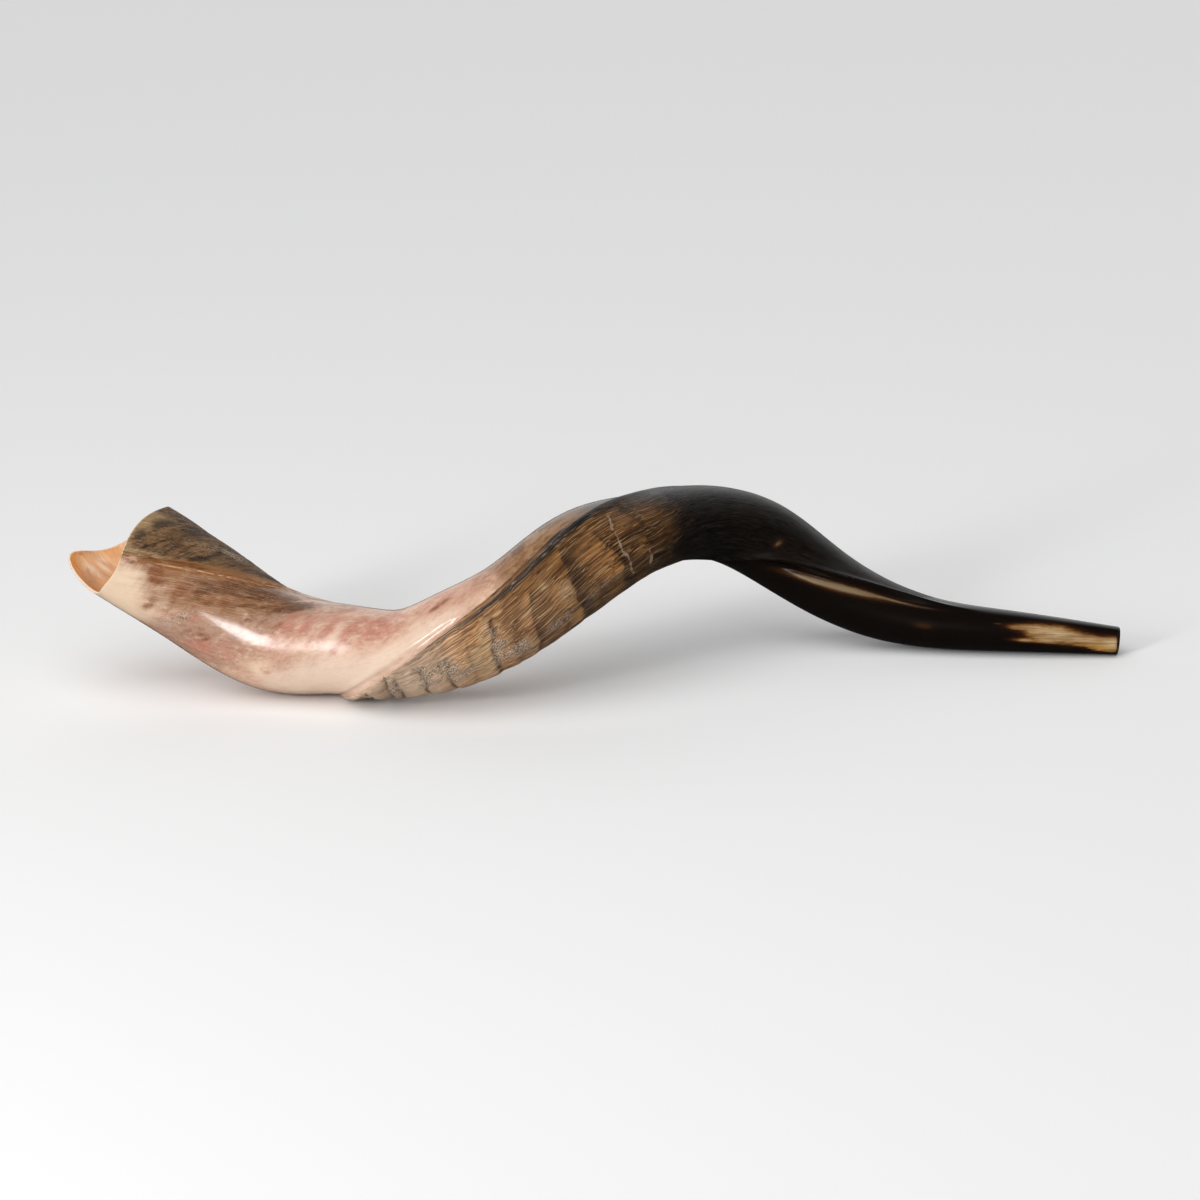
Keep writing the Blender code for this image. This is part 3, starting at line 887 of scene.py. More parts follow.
@dataclass
class HornSkin:
    """The horn's one piece: its mesh, its attributes and its maps."""

    grid: SkinGrid
    stains: HornStains
    name: str = "kudu_horn"
    outer_share: float = 0.64
    map_margin: float = 0.004
    # How far the dark growth's colour reaches past the keel, at places along the horn.
    keel_shift_at: tuple[float, ...] = (-200, -130, -105, -82, -55, -30, -8, 20)
    keel_shift: tuple[float, ...] = (1.0, 1.2, 1.8, 4.5, 6.0, 6.0, 4.0, 3.0)
    # How much of the growth beside the ridge was ground away behind the horn's first bend.
    bare_waist: float = 22.0
    # Where the growth ends before the mouthpiece, and how far its edges are drawn in there.
    growth_end: Pair = (230, 290)
    growth_drop: float = 30.0
    # Millimetres to a lap that rings lean: on the growth, more in the bell, and on the ground skin.
    growth_lean: float = 28.0
    bell_lean: float = 22.0
    ground_lean: float = 24.0

    def faces(self, rows: int, columns: int) -> Array:
        """Quads of a grid that closes both ways, turned to face outwards.

        Args:
            rows: Number of rows.
            columns: Number of columns.

        Returns:
            The four corners of each face.
        """
        row, column = np.meshgrid(np.arange(rows), np.arange(columns), indexing="ij")
        next_row, next_column = (row + 1) % rows, (column + 1) % columns
        ring = [(row, column), (next_row, column), (next_row, next_column), (row, next_column)]
        return np.stack([r * columns + c for r, c in ring], axis=-1).reshape(-1, 4)

    def bake_map(self, points: Array, outside: Array) -> Array:
        """Map of the skin unrolled in two bands, the outside in the lower and the hollow above it.

        Across is the share of the run from the rim to the end, and up is the lap's share of a band.

        Args:
            points: Points of the grid.
            outside: Flag of the outer rows.

        Returns:
            Map places of each corner of each face.
        """
        rows, columns = outside.shape
        flag = outside[:, 0] > 0.5
        step = np.linalg.norm(np.diff(points, axis=0, append=points[:1]), axis=-1).mean(axis=1)
        first_inner = int(np.argmin(flag))
        after_inner = first_inner + int(np.count_nonzero(~flag))
        order = np.roll(np.arange(rows), rows - after_inner)
        run = np.zeros(rows + 1)
        run[1:] = np.cumsum(step[order])
        place = run[np.argsort(order)]
        split, total = place[first_inner], run[-1]
        row, column = np.meshgrid(np.arange(rows), np.arange(columns), indexing="ij")
        inner = (row >= first_inner) & (row < after_inner)
        ends = place[row], place[row] + step[row]
        low, high = (np.where(inner, (total - end) / (total - split), end / split) for end in ends)
        laps = np.append(self.grid.laps(), 2.0) / 2
        share = np.where(inner, 1 - self.outer_share, self.outer_share) - 2 * self.map_margin
        base = np.where(inner, self.outer_share, 0) + self.map_margin
        left, right = base + laps[column] * share, base + laps[column + 1] * share
        corners = np.stack([low, left, high, left, high, right, low, right], axis=-1).reshape(-1, 4, 2)
        corners[..., 0] = self.map_margin + (1 - 2 * self.map_margin) * np.clip(corners[..., 0], 0, 1)
        return corners.reshape(-1, 2)

    def attributes(self, along: Array) -> dict[str, Array]:
        """Values that the finishes read, for each vertex, with lengths in metres.

        grain lays the horn straight.  bands is the place along it, leaned as the growth rings lean, and
        a circle at the lap.  edges holds the distance from the rim, the depth into the growth from its
        nearest edge, and the depth past the keel.  sides holds the distance from the old cracks, the
        place along the horn and the offset from the ridge's line.  rings holds the pale and dark bands of
        the growth rings and the painted shade in the bottoms of their deep grooves, and lobe the stains of
        the hollow.

        Args:
            along: Places along the horn.

        Returns:
            Arrays of three values for each vertex, by name.
        """
        form, relief = self.grid.form, self.grid.relief
        lap = np.broadcast_to(self.grid.laps(), along.shape)
        turn = form.turn(along, lap)
        girth = form.oval(along, turn) * math.radians(1)
        rim_away = along - form.rim(lap)
        from_keel = (form.keel_turn(along) - turn) * girth
        shown_keel = from_keel + np.interp(along, self.keel_shift_at, self.keel_shift)
        from_ridge = np.where(lap <= 1, turn, turn - 360) * girth
        bare = from_ridge - self.bare_waist * span(along, -228, -150, 24)
        depth = np.where(lap <= 1, np.minimum(shown_keel, bare), np.maximum(shown_keel, from_ridge))
        depth = depth - self.growth_drop * ramp(along, *self.growth_end)
        lean = self.growth_lean + self.bell_lean * ramp(along, -240, -290)
        leaned = along - np.where(lap <= 1, lean * lap, self.ground_lean * (lap - 1))
        lengths = {
            "grain": form.grain(along, turn),
            "bands": (leaned, *circle(GRAIN_RADIUS, lap)),
            "edges": (rim_away, depth, from_keel),
            "sides": (relief.crack_away(along, lap), along, from_ridge + relief.ridge_drop(along) * girth),
        }
        strengths = {
            "lobe": [joined(marks, rim_away, lap) for marks in LOBE_MARKS],
            "rings": relief.ring_values(along, lap),
        }
        packed = {name: np.stack(values, axis=-1).reshape(-1, 3) * MM for name, values in lengths.items()}
        packed |= {name: np.stack(values, axis=-1).reshape(-1, 3) for name, values in strengths.items()}
        for tone in Tone:
            name, slot = tone.value
            values = packed.setdefault(name, np.zeros((along.size, 3)))
            values[:, slot] = self.stains.read(tone, along, lap).ravel()
        return packed

    def build(self) -> bpy.types.Object:
        """Make the piece.

        Returns:
            The object, at the origin, with its outer faces on material slot 0 and the hollow's on slot 1.
        """
        form = self.grid.form
        along, radius, outside = self.grid.rows()
        points = form.laid_down(form.points(along, form.turn(along, self.grid.laps()), radius))
        quads = self.faces(*along.shape)
        mesh = bpy.data.meshes.new(self.name)
        mesh.vertices.add(along.size)
        mesh.vertices.foreach_set("co", points.astype(np.float32).ravel())
        mesh.loops.add(quads.size)
        mesh.loops.foreach_set("vertex_index", quads.astype(np.int32).ravel())
        mesh.polygons.add(len(quads))
        mesh.polygons.foreach_set("loop_start", np.arange(0, quads.size, 4, dtype=np.int32))
        mesh.update(calc_edges=True)
        mesh.shade_smooth()
        for name, values in self.attributes(along).items():
            layer = mesh.attributes.new(name, "FLOAT_VECTOR", "POINT")
            layer.data.foreach_set("vector", values.astype(np.float32).ravel())
        bake = self.bake_map(points, outside).astype(np.float32)
        mesh.uv_layers.new(name="OFBake").uv.foreach_set("vector", bake.ravel())
        in_hollow = (outside.ravel()[quads].mean(axis=1) < 0.5).astype(np.int32)
        mesh.polygons.foreach_set("material_index", in_hollow)
        return add_object(self.name, mesh)


@dataclass
class Graph:
    """Adds the nodes of one tree and links them."""

    tree: bpy.types.NodeTree

    def node(self, kind: str, feeds: dict[str | int, Feed] | None = None,
             **settings: str | bool) -> bpy.types.Node:
        """Add a node.

        Args:
            kind: Its type, without the ShaderNode in front.
            feeds: What goes into its inputs, by name or number.
            settings: Its own settings.

        Returns:
            The node.
        """
        made = self.tree.nodes.new("ShaderNode" + kind)
        for name, value in settings.items():
            setattr(made, name, value)
        self.fill(made, feeds or {})
        return made

    def fill(self, made: bpy.types.Node, feeds: dict[str | int, Feed]) -> None:
        """Feed a node's inputs, by name or number."""
        for key, value in feeds.items():
            self.feed(made.inputs[key], value)

    def feed(self, socket: Socket, value: Feed) -> None:
        """Link a socket to another, or set its own value.

        Args:
            socket: An input.
            value: What goes into it.
        """
        if isinstance(value, bpy.types.NodeSocket):
            self.tree.links.new(value, socket)
        else:
            socket.default_value = (*value, 1.0) if socket.type == "RGBA" and len(value) == 3 else value

    def math(self, operation: str, first: Feed, second: Feed = 0.0) -> Socket:
        """Result of a sum on one or two numbers."""
        return self.node("Math", {0: first, 1: second}, operation=operation).outputs[0]

    def plus(self, first: Feed, second: Feed) -> Socket:
        """Sum of two numbers."""
        return self.math("ADD", first, second)

    def minus(self, first: Feed, second: Feed) -> Socket:
        """Difference of two numbers."""
        return self.math("SUBTRACT", first, second)

    def times(self, first: Feed, *others: Feed) -> Socket:
        """Product of numbers.

        Args:
            first: The first of them.
            others: The others, in the order in which they multiply it.

        Returns:
            The product.
        """
        for other in others:
            first = self.math("MULTIPLY", first, other)
        return first

    def about(self, noise: Feed, size: Feed) -> Socket:
        """Noise brought to run from below 0 to above it, times a size."""
        return self.times(self.minus(noise, 0.5), size)

    def rise(self, value: Feed, start: Feed, end: Feed, low: Feed = 0.0, high: Feed = 1.0) -> Socket:
        """Number that goes smoothly from low to high while value goes from start to end."""
        feeds = {"Value": value, "From Min": start, "From Max": end, "To Min": low, "To Max": high}
        return self.node("MapRange", feeds, interpolation_type="SMOOTHSTEP").outputs["Result"]

    def mix(self, factor: Feed, first: Feed, second: Feed) -> Socket:
        """Colour between two colours."""
        return self.node("Mix", {0: factor, 6: first, 7: second}, data_type="RGBA").outputs[2]

    def tint(self, colour: Feed, other: Feed, *parts: Feed) -> Socket:
        """Colour with another laid over it, as strongly as the product of the parts."""
        return self.mix(self.times(*parts), colour, other)

    def blend(self, factor: Feed, first: Feed, second: Feed) -> Socket:
        """Number between two numbers."""
        return self.node("Mix", {0: factor, 2: first, 3: second}, data_type="FLOAT").outputs[0]

    def vectors(self, operation: str, first: Feed, second: Feed) -> Socket:
        """Result of a sum on two vectors."""
        return self.node("VectorMath", {0: first, 1: second}, operation=operation).outputs[0]

    def noise(self, place: Socket, scale: Triple, detail: float = 2.0, rough: float = 0.5) -> Socket:
        """Layered noise.

        Args:
            place: Where to read it.
            scale: Its cells to the metre along each axis.
            detail: How many finer layers it has.
            rough: How strong they are.

        Returns:
            The noise, from 0 to 1.
        """
        feeds = {"Vector": self.vectors("MULTIPLY", place, scale), "Scale": 1.0, "Detail": detail,
                 "Roughness": rough}
        return self.node("TexNoise", feeds).outputs[0]

    def vector(self, name: str) -> Socket:
        """A vertex attribute as a vector."""
        return self.node("Attribute", attribute_name=name, attribute_type="GEOMETRY").outputs["Vector"]

    def values(self, name: str) -> tuple[Socket, Socket, Socket]:
        """The three numbers of a vertex attribute."""
        return tuple(self.node("SeparateXYZ", {0: self.vector(name)}).outputs)

    def surface(self, shader: bpy.types.Node, colour: Feed, rough: Feed, height: Socket, relief: float,
                strength: float) -> None:
        """Feed a shader.

        Args:
            shader: The material's shader.
            colour: Its colour.
            rough: Its roughness.
            height: Height of its fine relief, from 0 to 1.
            relief: How high a height of 1 is, in metres.
            strength: How strongly the relief shows.
        """
        feeds = {"Height": height, "Distance": relief, "Strength": strength}
        normal = self.node("Bump", feeds).outputs[0]
        self.fill(shader, {"Base Color": colour, "Roughness": rough, "Normal": normal})


def new_material(name: str, **constants: Feed) -> tuple[bpy.types.Material, Graph, bpy.types.Node]:
    """Make a material.

    Args:
        name: Its name.
        constants: Numbers for the shader's own inputs, named with _ for each blank.

    Returns:
        The material, its graph and its shader.
    """
    material = bpy.data.materials.new(name)
    material.use_nodes = True
    graph, shader = Graph(material.node_tree), material.node_tree.nodes["Principled BSDF"]
    graph.fill(shader, {key.replace("_", " "): value for key, value in constants.items()})
    return material, graph, shader


@dataclass
class HornGroups:
    """Node groups that both finishes share."""

    fibres: bpy.types.NodeTree = field(init=False)
    ragged: bpy.types.NodeTree = field(init=False)

    def __post_init__(self) -> None:
        """Make each group once."""
        self.fibres = self.fibre_group()
        self.ragged = self.ragged_group()

    def begin(self, name: str, kind: str, inputs: tuple[str, ...],
              outputs: tuple[str, ...]) -> tuple[Graph, Sockets, Sockets]:
        """Start a group.

        Args:
            name: The group's name.
            kind: Type of its inputs.
            inputs: Their names.
            outputs: Names of its numbers out.

        Returns:
            The graph, its inputs by name, and the sockets that its outputs are fed to.
        """
        tree = bpy.data.node_groups.new(name, "ShaderNodeTree")
        for key in inputs:
            tree.interface.new_socket(key, in_out="INPUT", socket_type=kind)
        for key in outputs:
            tree.interface.new_socket(key, in_out="OUTPUT", socket_type="NodeSocketFloat")
        source, sink = tree.nodes.new("NodeGroupInput"), tree.nodes.new("NodeGroupOutput")
        given, out = {key: source.outputs[key] for key in inputs}, {key: sink.inputs[key] for key in outputs}
        return Graph(tree), given, out

    def fibre_group(self) -> bpy.types.NodeTree:
        """Fibres down the straightened horn: light hairs, dark gaps between them, and broad streaks.

        Hairs and gaps follow two levels of one fine noise, so that they stay thin and never cross.
        The place is first moved sideways a little by a coarse noise, so that the fibres waver.

        Returns:
            The group.
        """
        names = ("Hairs", "Gaps", "Streaks")
        graph, given, out = self.begin("horn fibres", "NodeSocketVector", ("Place",), names)
        feeds = {"Vector": given["Place"], "Scale": 28.0, "Detail": 2.0}
        sway = graph.node("TexNoise", feeds).outputs["Color"]
        sway = graph.vectors("SUBTRACT", sway, (0.5, 0.5, 0.5))
        sway = graph.vectors("MULTIPLY", sway, (0.0, 0.004, 0.004))
        place = graph.vectors("ADD", given["Place"], sway)
        fine = graph.noise(place, (20, 1450, 1450), 1.0)
        for name, level in (("Hairs", 0.56), ("Gaps", 0.44)):
            off = graph.math("ABSOLUTE", graph.minus(fine, level))
            graph.feed(out[name], graph.rise(off, 0.06, 0.012))
        graph.feed(out["Streaks"], graph.rise(graph.noise(place, (11, 170, 170), 4.0, 0.62), 0.34, 0.66))
        return graph.tree

    def ragged_group(self) -> bpy.types.NodeTree:
        """Mask with a ragged edge: noise moves it, where there is any, before a soft cut at one half.

        Returns:
            The group.
        """
        names = ("Mask", "Noise", "Ragged", "Reach", "Soft")
        graph, given, out = self.begin("ragged mask", "NodeSocketFloat", names, ("Mask",))
        within = graph.rise(given["Mask"], 0.06, 0.42)
        moved = graph.times(graph.about(given["Noise"], given["Ragged"]), within)
        total = graph.plus(graph.plus(given["Mask"], given["Reach"]), moved)
        low, high = graph.minus(0.5, given["Soft"]), graph.plus(0.5, given["Soft"])
        graph.feed(out["Mask"], graph.rise(total, low, high))
        return graph.tree

    def use_fibres(self, graph: Graph, place: Socket) -> tuple[Socket, ...]:
        """Hairs, gaps and streaks of the fibres at a place."""
        return tuple(graph.node("Group", {"Place": place}, node_tree=self.fibres).outputs)


@dataclass(frozen=True)
class Coat:
    """A stain's colour, how ragged, far-reaching and soft its edge is, and how strongly it covers."""

    tone: Tone
    colour: Colour
    ragged: float = 0.8
    soft: float = 0.35
    strength: float = 1.0
    reach: float = 0.0


@dataclass
class SkinReader:
    """What the steps of the skin's finish read: places, noises, fibres, distances, stains and masks."""

    graph: Graph
    groups: HornGroups

    def __post_init__(self) -> None:
        """Add the nodes that read them."""
        graph = self.graph
        place, bands = graph.vector("grain"), graph.vector("bands")
        self.breaking: Socket = graph.noise(place, (90, 190, 190), 5.0, 0.68)
        self.cloud: Socket = graph.noise(place, (24, 48, 48), 5.0, 0.6)
        self.fine: Socket = graph.noise(place, (900, 1000, 1000), 3.0, 0.7)
        self.mottle: Socket = graph.noise(place, (170, 420, 420), 5.0, 0.72)
        self.bands: Socket = graph.noise(bands, (92, 20, 20), 5.0, 0.6)
        self.lines: Socket = graph.noise(bands, (300, 60, 60), 6.0, 0.72)
        self.fibres: tuple[Socket, ...] = self.groups.use_fibres(graph, place)
        self.rim_away, self.depth, self.keel_off = graph.values("edges")
        self.crack_away, self.along, self.ridge_off = graph.values("sides")
        self.rings: tuple[Socket, ...] = graph.values("rings")
        names = sorted({tone.value[0] for tone in Tone})
        self.tones: dict[str, tuple[Socket, ...]] = {name: graph.values(name) for name in names}
        # The natural growth, the far half's black and the crust, and 0 to 1 from the early growth to
        # the late, amber one.
        edge = graph.plus(self.depth, graph.about(self.breaking, 0.003))
        self.growth: Socket = graph.rise(edge, -0.0004, 0.0005)
        self.black: Socket = self.mask(Tone.BLACK, 0.5, 0.35)
        self.crust: Socket = self.mask(Tone.ASH, 3.2, 0.35, 0.95, 0.05)
        self.moved: Socket = graph.plus(self.along, graph.about(self.cloud, 0.05))
        self.age: Socket = graph.rise(self.moved, -0.10, -0.02)

    def mask(self, tone: Tone, ragged: float, soft: float, strength: float = 1.0,
             reach: float = 0.0) -> Socket:
        """Mask of a stain, with its edge broken up.

        Args:
            tone: Which stain.
            ragged: How far noise moves its edge.
            soft: How soft the edge is.
            strength: Its largest value.
            reach: How far it reaches out.

        Returns:
            The mask.
        """
        name, slot = tone.value
        feeds = {"Mask": self.tones[name][slot], "Noise": self.breaking, "Ragged": ragged,
                 "Reach": reach, "Soft": soft}
        made = self.graph.node("Group", feeds, node_tree=self.groups.ragged)
        return self.graph.times(made.outputs["Mask"], strength)

    def lay(self, colour: Feed, coats: tuple[Coat, ...]) -> Socket:
        """Lay coats over a colour, one after another.

        Args:
            colour: The colour so far.
            coats: The coats, from the lowest up.

        Returns:
            The colour.
        """
        for coat in coats:
            mask = self.mask(coat.tone, coat.ragged, coat.soft, coat.strength, coat.reach)
            colour = self.graph.mix(mask, colour, coat.colour)
        return colour


@dataclass(frozen=True)
class SkinFinish:
    """Colours, gloss and fine relief of the outer skin, ground and natural."""

    peach: Colour = (0.78, 0.52, 0.385)
    blush: Colour = (0.62, 0.36, 0.26)
    ground_coats: tuple[Coat, ...] = (
        Coat(Tone.MAUVE, (0.43, 0.26, 0.185), 2.6, 0.5, 0.95, 0.05),
        Coat(Tone.HONEY, (0.30, 0.145, 0.062), 2.0, 0.5, 0.95, 0.05),
        Coat(Tone.CREAM, (0.86, 0.66, 0.48), 0.8, 0.45, 0.95, 0.12),
        Coat(Tone.MILK, (0.86, 0.67, 0.525), 1.0, 0.5, 0.92),
        Coat(Tone.ROSE, (0.54, 0.235, 0.17), 2.8, 0.45, 0.88, 0.02),
        Coat(Tone.RUSSET, (0.22, 0.072, 0.025), 1.8, 0.4, 0.95, 0.02),
        Coat(Tone.UMBER, (0.11, 0.042, 0.015), 2.0, 0.45, 0.95, 0.04),
    )
    echo: Colour = (0.24, 0.10, 0.05)
    late_tan: Colour = (0.38, 0.215, 0.10)
    late_brown: Colour = (0.11, 0.05, 0.02)
    late_mauve: Colour = (0.34, 0.21, 0.15)
    late_grey: Colour = (0.10, 0.085, 0.065)
    bell_dark: Colour = (0.046, 0.025, 0.012)
    bell_light: Colour = (0.33, 0.175, 0.075)
    bell_speck: Colour = (0.46, 0.40, 0.31)
    bell_coats: tuple[Coat, ...] = (
        Coat(Tone.HONEY, (0.40, 0.175, 0.055), 2.2, 0.5, 0.85),
        Coat(Tone.TAN, (0.58, 0.38, 0.19), 1.6, 0.45, 0.9),
        Coat(Tone.RUSSET, (0.20, 0.07, 0.014), 2.0, 0.4, 0.9),
        Coat(Tone.UMBER, (0.05, 0.036, 0.022), 2.2, 0.45, 0.8),
    )
    # The first growth's colours are painted lighter than its skin, as bounce light from the floor on the
    # belly that faces down.
    first_dark_with_painted_bounce: Colour = (0.60, 0.40, 0.27)
    first_light_with_painted_bounce: Colour = (0.95, 0.70, 0.50)
    early_dark: Colour = (0.24, 0.085, 0.024)
    early_light: Colour = (0.80, 0.385, 0.13)
    late_dark: Colour = (0.022, 0.009, 0.003)
    late_light: Colour = (0.24, 0.09, 0.016)
    tan_early: Colour = (0.80, 0.50, 0.26)
    tan_late: Colour = (0.58, 0.25, 0.045)
    hair_early: Colour = (0.88, 0.60, 0.36)
    hair_late: Colour = (0.56, 0.34, 0.15)
    # gap_early is the colour of the gaps between fibres, and also of the painted shade in the bottoms of deep
    # ring grooves.
    gap_early: Colour = (0.075, 0.027, 0.009)
    gap_late: Colour = (0.010, 0.004, 0.002)
    crust_light: Colour = (0.80, 0.64, 0.48)
    crust_dark: Colour = (0.17, 0.095, 0.05)
    keel_dark: Colour = (0.028, 0.021, 0.015)
    keel_light: Colour = (0.30, 0.235, 0.17)
    # A pale line painted on the bell ridge's crest as its highlight.
    ridge_crest_highlight: Colour = (0.66, 0.38, 0.18)
    ridge_shade: Colour = (0.24, 0.085, 0.022)
    crack: Colour = (0.42, 0.29, 0.19)
    # lip is the pale of the ground's hairs, and is also painted along the rim's edge as its highlight.
    lip: Colour = (0.88, 0.70, 0.52)
    black: Colour = (0.0024, 0.0021, 0.0019)
    black_hair: Colour = (0.05, 0.036, 0.024)
    far_coats: tuple[Coat, ...] = (
        Coat(Tone.AMBER, (0.035, 0.010, 0.003), 0.5, 0.2, 1.0, 0.34),
        Coat(Tone.AMBER, (0.17, 0.066, 0.012), 0.9, 0.2, 1.0, 0.1),
        Coat(Tone.AMBER, (0.33, 0.19, 0.075), 1.3, 0.22, 1.0, -0.12),
        Coat(Tone.AMBER, (0.46, 0.31, 0.16), 1.8, 0.3, 0.9, -0.4),
        Coat(Tone.PALE, (0.05, 0.018, 0.005), 0.3, 0.25, 0.95, 0.3),
        Coat(Tone.PALE, (0.17, 0.105, 0.05), 0.4, 0.22, 1.0, 0.0),
        Coat(Tone.PALE, (0.27, 0.20, 0.115), 0.5, 0.3, 0.9, -0.25),
    )
    gold: Colour = (0.52, 0.27, 0.055)
    pearl: Colour = (0.62, 0.46, 0.26)
    umber: Colour = (0.10, 0.04, 0.012)
    ground_rough: float = 0.11
    early_rough: float = 0.55
    late_rough: float = 0.42
    crust_rough: float = 0.75
    black_rough: float = 0.2
    # Places in metres between which one look of the horn gives way to the next.
    bell_fade: Pair = (-0.20, -0.27)
    first_fade: Pair = (-0.085, -0.135)
    late_fade: Pair = (-0.07, -0.046)
    grey_fade: Pair = (-0.035, 0.015)
    keel_fade: Pair = (-0.16, -0.09)
    tip_fade: Pair = (0.30, 0.32)
    # The same, by the distance from the rim.
    ridge_fade: Pair = (0.14, 0.10)
    relief: float = 0.0007
    scatter: float = 0.05
    scatter_radius: Triple = (0.004, 0.0022, 0.0014)

    def make(self, groups: HornGroups) -> bpy.types.Material:
        """Make the skin's material.

        Args:
            groups: The shared node groups.

        Returns:
            The material.
        """
        material, graph, shader = new_material(
            "horn skin", Subsurface_Weight=self.scatter, Subsurface_Radius=self.scatter_radius,
            Subsurface_Scale=1.0)
        skin = SkinReader(graph, groups)
        graph.surface(shader, self.colour(skin), self.roughness(skin), self.height(skin), self.relief, 1.0)
        return material

    def colour(self, skin: SkinReader) -> Socket:
        """Colour of the whole skin: ground and grown, crust, ridge, keel, black, tip, cracks and lip, with
        painted highlights on the ridge's crest and along the rim's lip.

        Args:
            skin: What the steps read.

        Returns:
            The colour.
        """
        graph = skin.graph
        hairs = skin.fibres[0]
        colour = graph.mix(skin.growth, self.ground(skin), self.grown(skin))
        speckle = graph.mix(graph.rise(skin.fine, 0.4, 0.62), self.crust_dark, self.crust_light)
        colour = graph.tint(colour, speckle, skin.crust, graph.blend(skin.growth, 0.6, 0.85))
        colour = self.ridge(skin, colour)
        width = graph.rise(skin.along, -0.12, -0.02, 0.0, 0.004)
        strip = graph.rise(graph.minus(skin.keel_off, width), 0.0035, 0.0)
        reach = graph.times(graph.rise(skin.along, *self.keel_fade), graph.rise(skin.ridge_off, 0.004, 0.012))
        keel = graph.mix(hairs, self.keel_dark, self.keel_light)
        colour = graph.tint(colour, keel, strip, skin.growth, reach, 0.85)
        black = graph.tint(self.black, self.black_hair, hairs, skin.growth, 0.45)
        colour = graph.mix(skin.black, colour, black)
        colour = self.tip(skin, skin.lay(colour, self.far_coats))
        width = graph.rise(skin.breaking, 0.38, 0.66, 0.0001, 0.0012)
        crack = graph.rise(skin.crack_away, graph.plus(width, 0.0004), width)
        colour = graph.tint(colour, self.crack, crack, 0.85)
        # Painted highlight: a thin pale line along the rim's edge, stronger on the growth than on the ground
        # skin.
        lip = graph.rise(skin.rim_away, 0.0009, 0.0003)
        return graph.tint(colour, self.lip, lip, graph.blend(skin.growth, 0.4, 0.9))

    def tip(self, skin: SkinReader, colour: Socket) -> Socket:
        """Streak the mouthpiece's pale patch with brown, and tint it golden below and milky at its end.

        Args:
            skin: What the step reads.
            colour: The colour so far.

        Returns:
            The colour.
        """
        graph = skin.graph
        patch = graph.times(skin.mask(Tone.AMBER, 1.0, 0.3), graph.rise(skin.along, *self.tip_fade))
        colour = graph.tint(colour, self.gold, skin.mask(Tone.HONEY, 0.6, 0.5), patch, 0.75)
        colour = graph.tint(colour, self.pearl, skin.mask(Tone.MILK, 0.6, 0.5), patch, 0.7)
        return graph.tint(colour, self.umber, graph.rise(skin.fibres[2], 0.55, 0.15), patch, 0.55)

    def ground(self, skin: SkinReader) -> Socket:
        """Colour of the ground skin: peach to blush with its stains, echoes of the rings and streaks.

        Args:
            skin: What the step reads.

        Returns:
            The colour.
        """
        graph = skin.graph
        hairs, gaps, streaks = skin.fibres
        colour = graph.mix(graph.rise(skin.cloud, 0.36, 0.66), self.peach, self.blush)
        broken = graph.blend(0.6, streaks, graph.rise(skin.breaking, 0.42, 0.56))
        late = graph.mix(broken, self.late_brown, self.late_tan)
        late = graph.tint(late, self.late_mauve, graph.rise(skin.breaking, 0.5, 0.65), 0.6)
        late = graph.mix(graph.rise(skin.moved, *self.grey_fade), late, self.late_grey)
        colour = graph.mix(graph.rise(skin.moved, *self.late_fade), skin.lay(colour, self.ground_coats), late)
        honey = skin.mask(Tone.HONEY, 0.5, 0.5)
        worn, cream = skin.mask(Tone.MILK, 0.5, 0.5, 1.0, 0.1), skin.mask(Tone.CREAM, 0.4, 0.5, 1.0, 0.2)
        mottled = graph.blend(graph.math("MAXIMUM", worn, cream), 0.42, 0.06)
        colour = graph.tint(colour, self.echo, graph.rise(skin.mottle, 0.42, 0.68), mottled)
        colour = graph.tint(colour, self.echo, graph.rise(skin.bands, 0.5, 0.66), honey, 0.5)
        colour = graph.tint(colour, self.echo, gaps, graph.blend(honey, 0.04, 0.22))
        colour = graph.tint(colour, self.lip, hairs, graph.blend(honey, 0.05, 0.2))
        return graph.tint(colour, self.echo, graph.rise(streaks, 0.5, 1.0), graph.blend(honey, 0.04, 0.2))

    def grown(self, skin: SkinReader) -> Socket:
        """Colour of the natural growth: olive in the bell, brown beyond it and amber after that.

        Args:
            skin: What the step reads.

        Returns:
            The colour.
        """
        graph, age = skin.graph, skin.age
        hairs, gaps, streaks = skin.fibres
        # The third of the rings values is painted shade in the bottoms of deep grooves.
        pale, dark, line = skin.rings
        belled = graph.rise(skin.along, *self.bell_fade)
        first = graph.rise(skin.along, *self.first_fade)
        shade = graph.rise(graph.blend(0.5, skin.bands, skin.cloud), 0.4, 0.62)
        shade = graph.blend(0.4, shade, streaks)
        # The first growth past the bell is painted lighter, as bounce light on the belly that faces down.
        low = graph.mix(first, self.early_dark, self.first_dark_with_painted_bounce)
        high = graph.mix(first, self.early_light, self.first_light_with_painted_bounce)
        late = graph.mix(shade, self.late_dark, self.late_light)
        colour = graph.mix(age, graph.mix(shade, low, high), late)
        broken = graph.minus(graph.blend(0.5, skin.breaking, streaks), 0.5)
        pale = graph.plus(graph.times(pale, graph.blend(age, 1.0, 0.6)), graph.times(broken, 1.6))
        colour = graph.mix(graph.rise(pale, 0.3, 1.2), colour, graph.mix(age, self.tan_early, self.tan_late))
        colour = skin.lay(graph.mix(belled, colour, self.bell(skin)), self.bell_coats)
        dark = graph.rise(graph.plus(dark, graph.times(broken, 0.7)), 0.15, 0.95)
        shadow = graph.mix(age, graph.mix(belled, self.early_dark, self.bell_dark), self.gap_late)
        colour = graph.tint(colour, shadow, dark, 0.8)
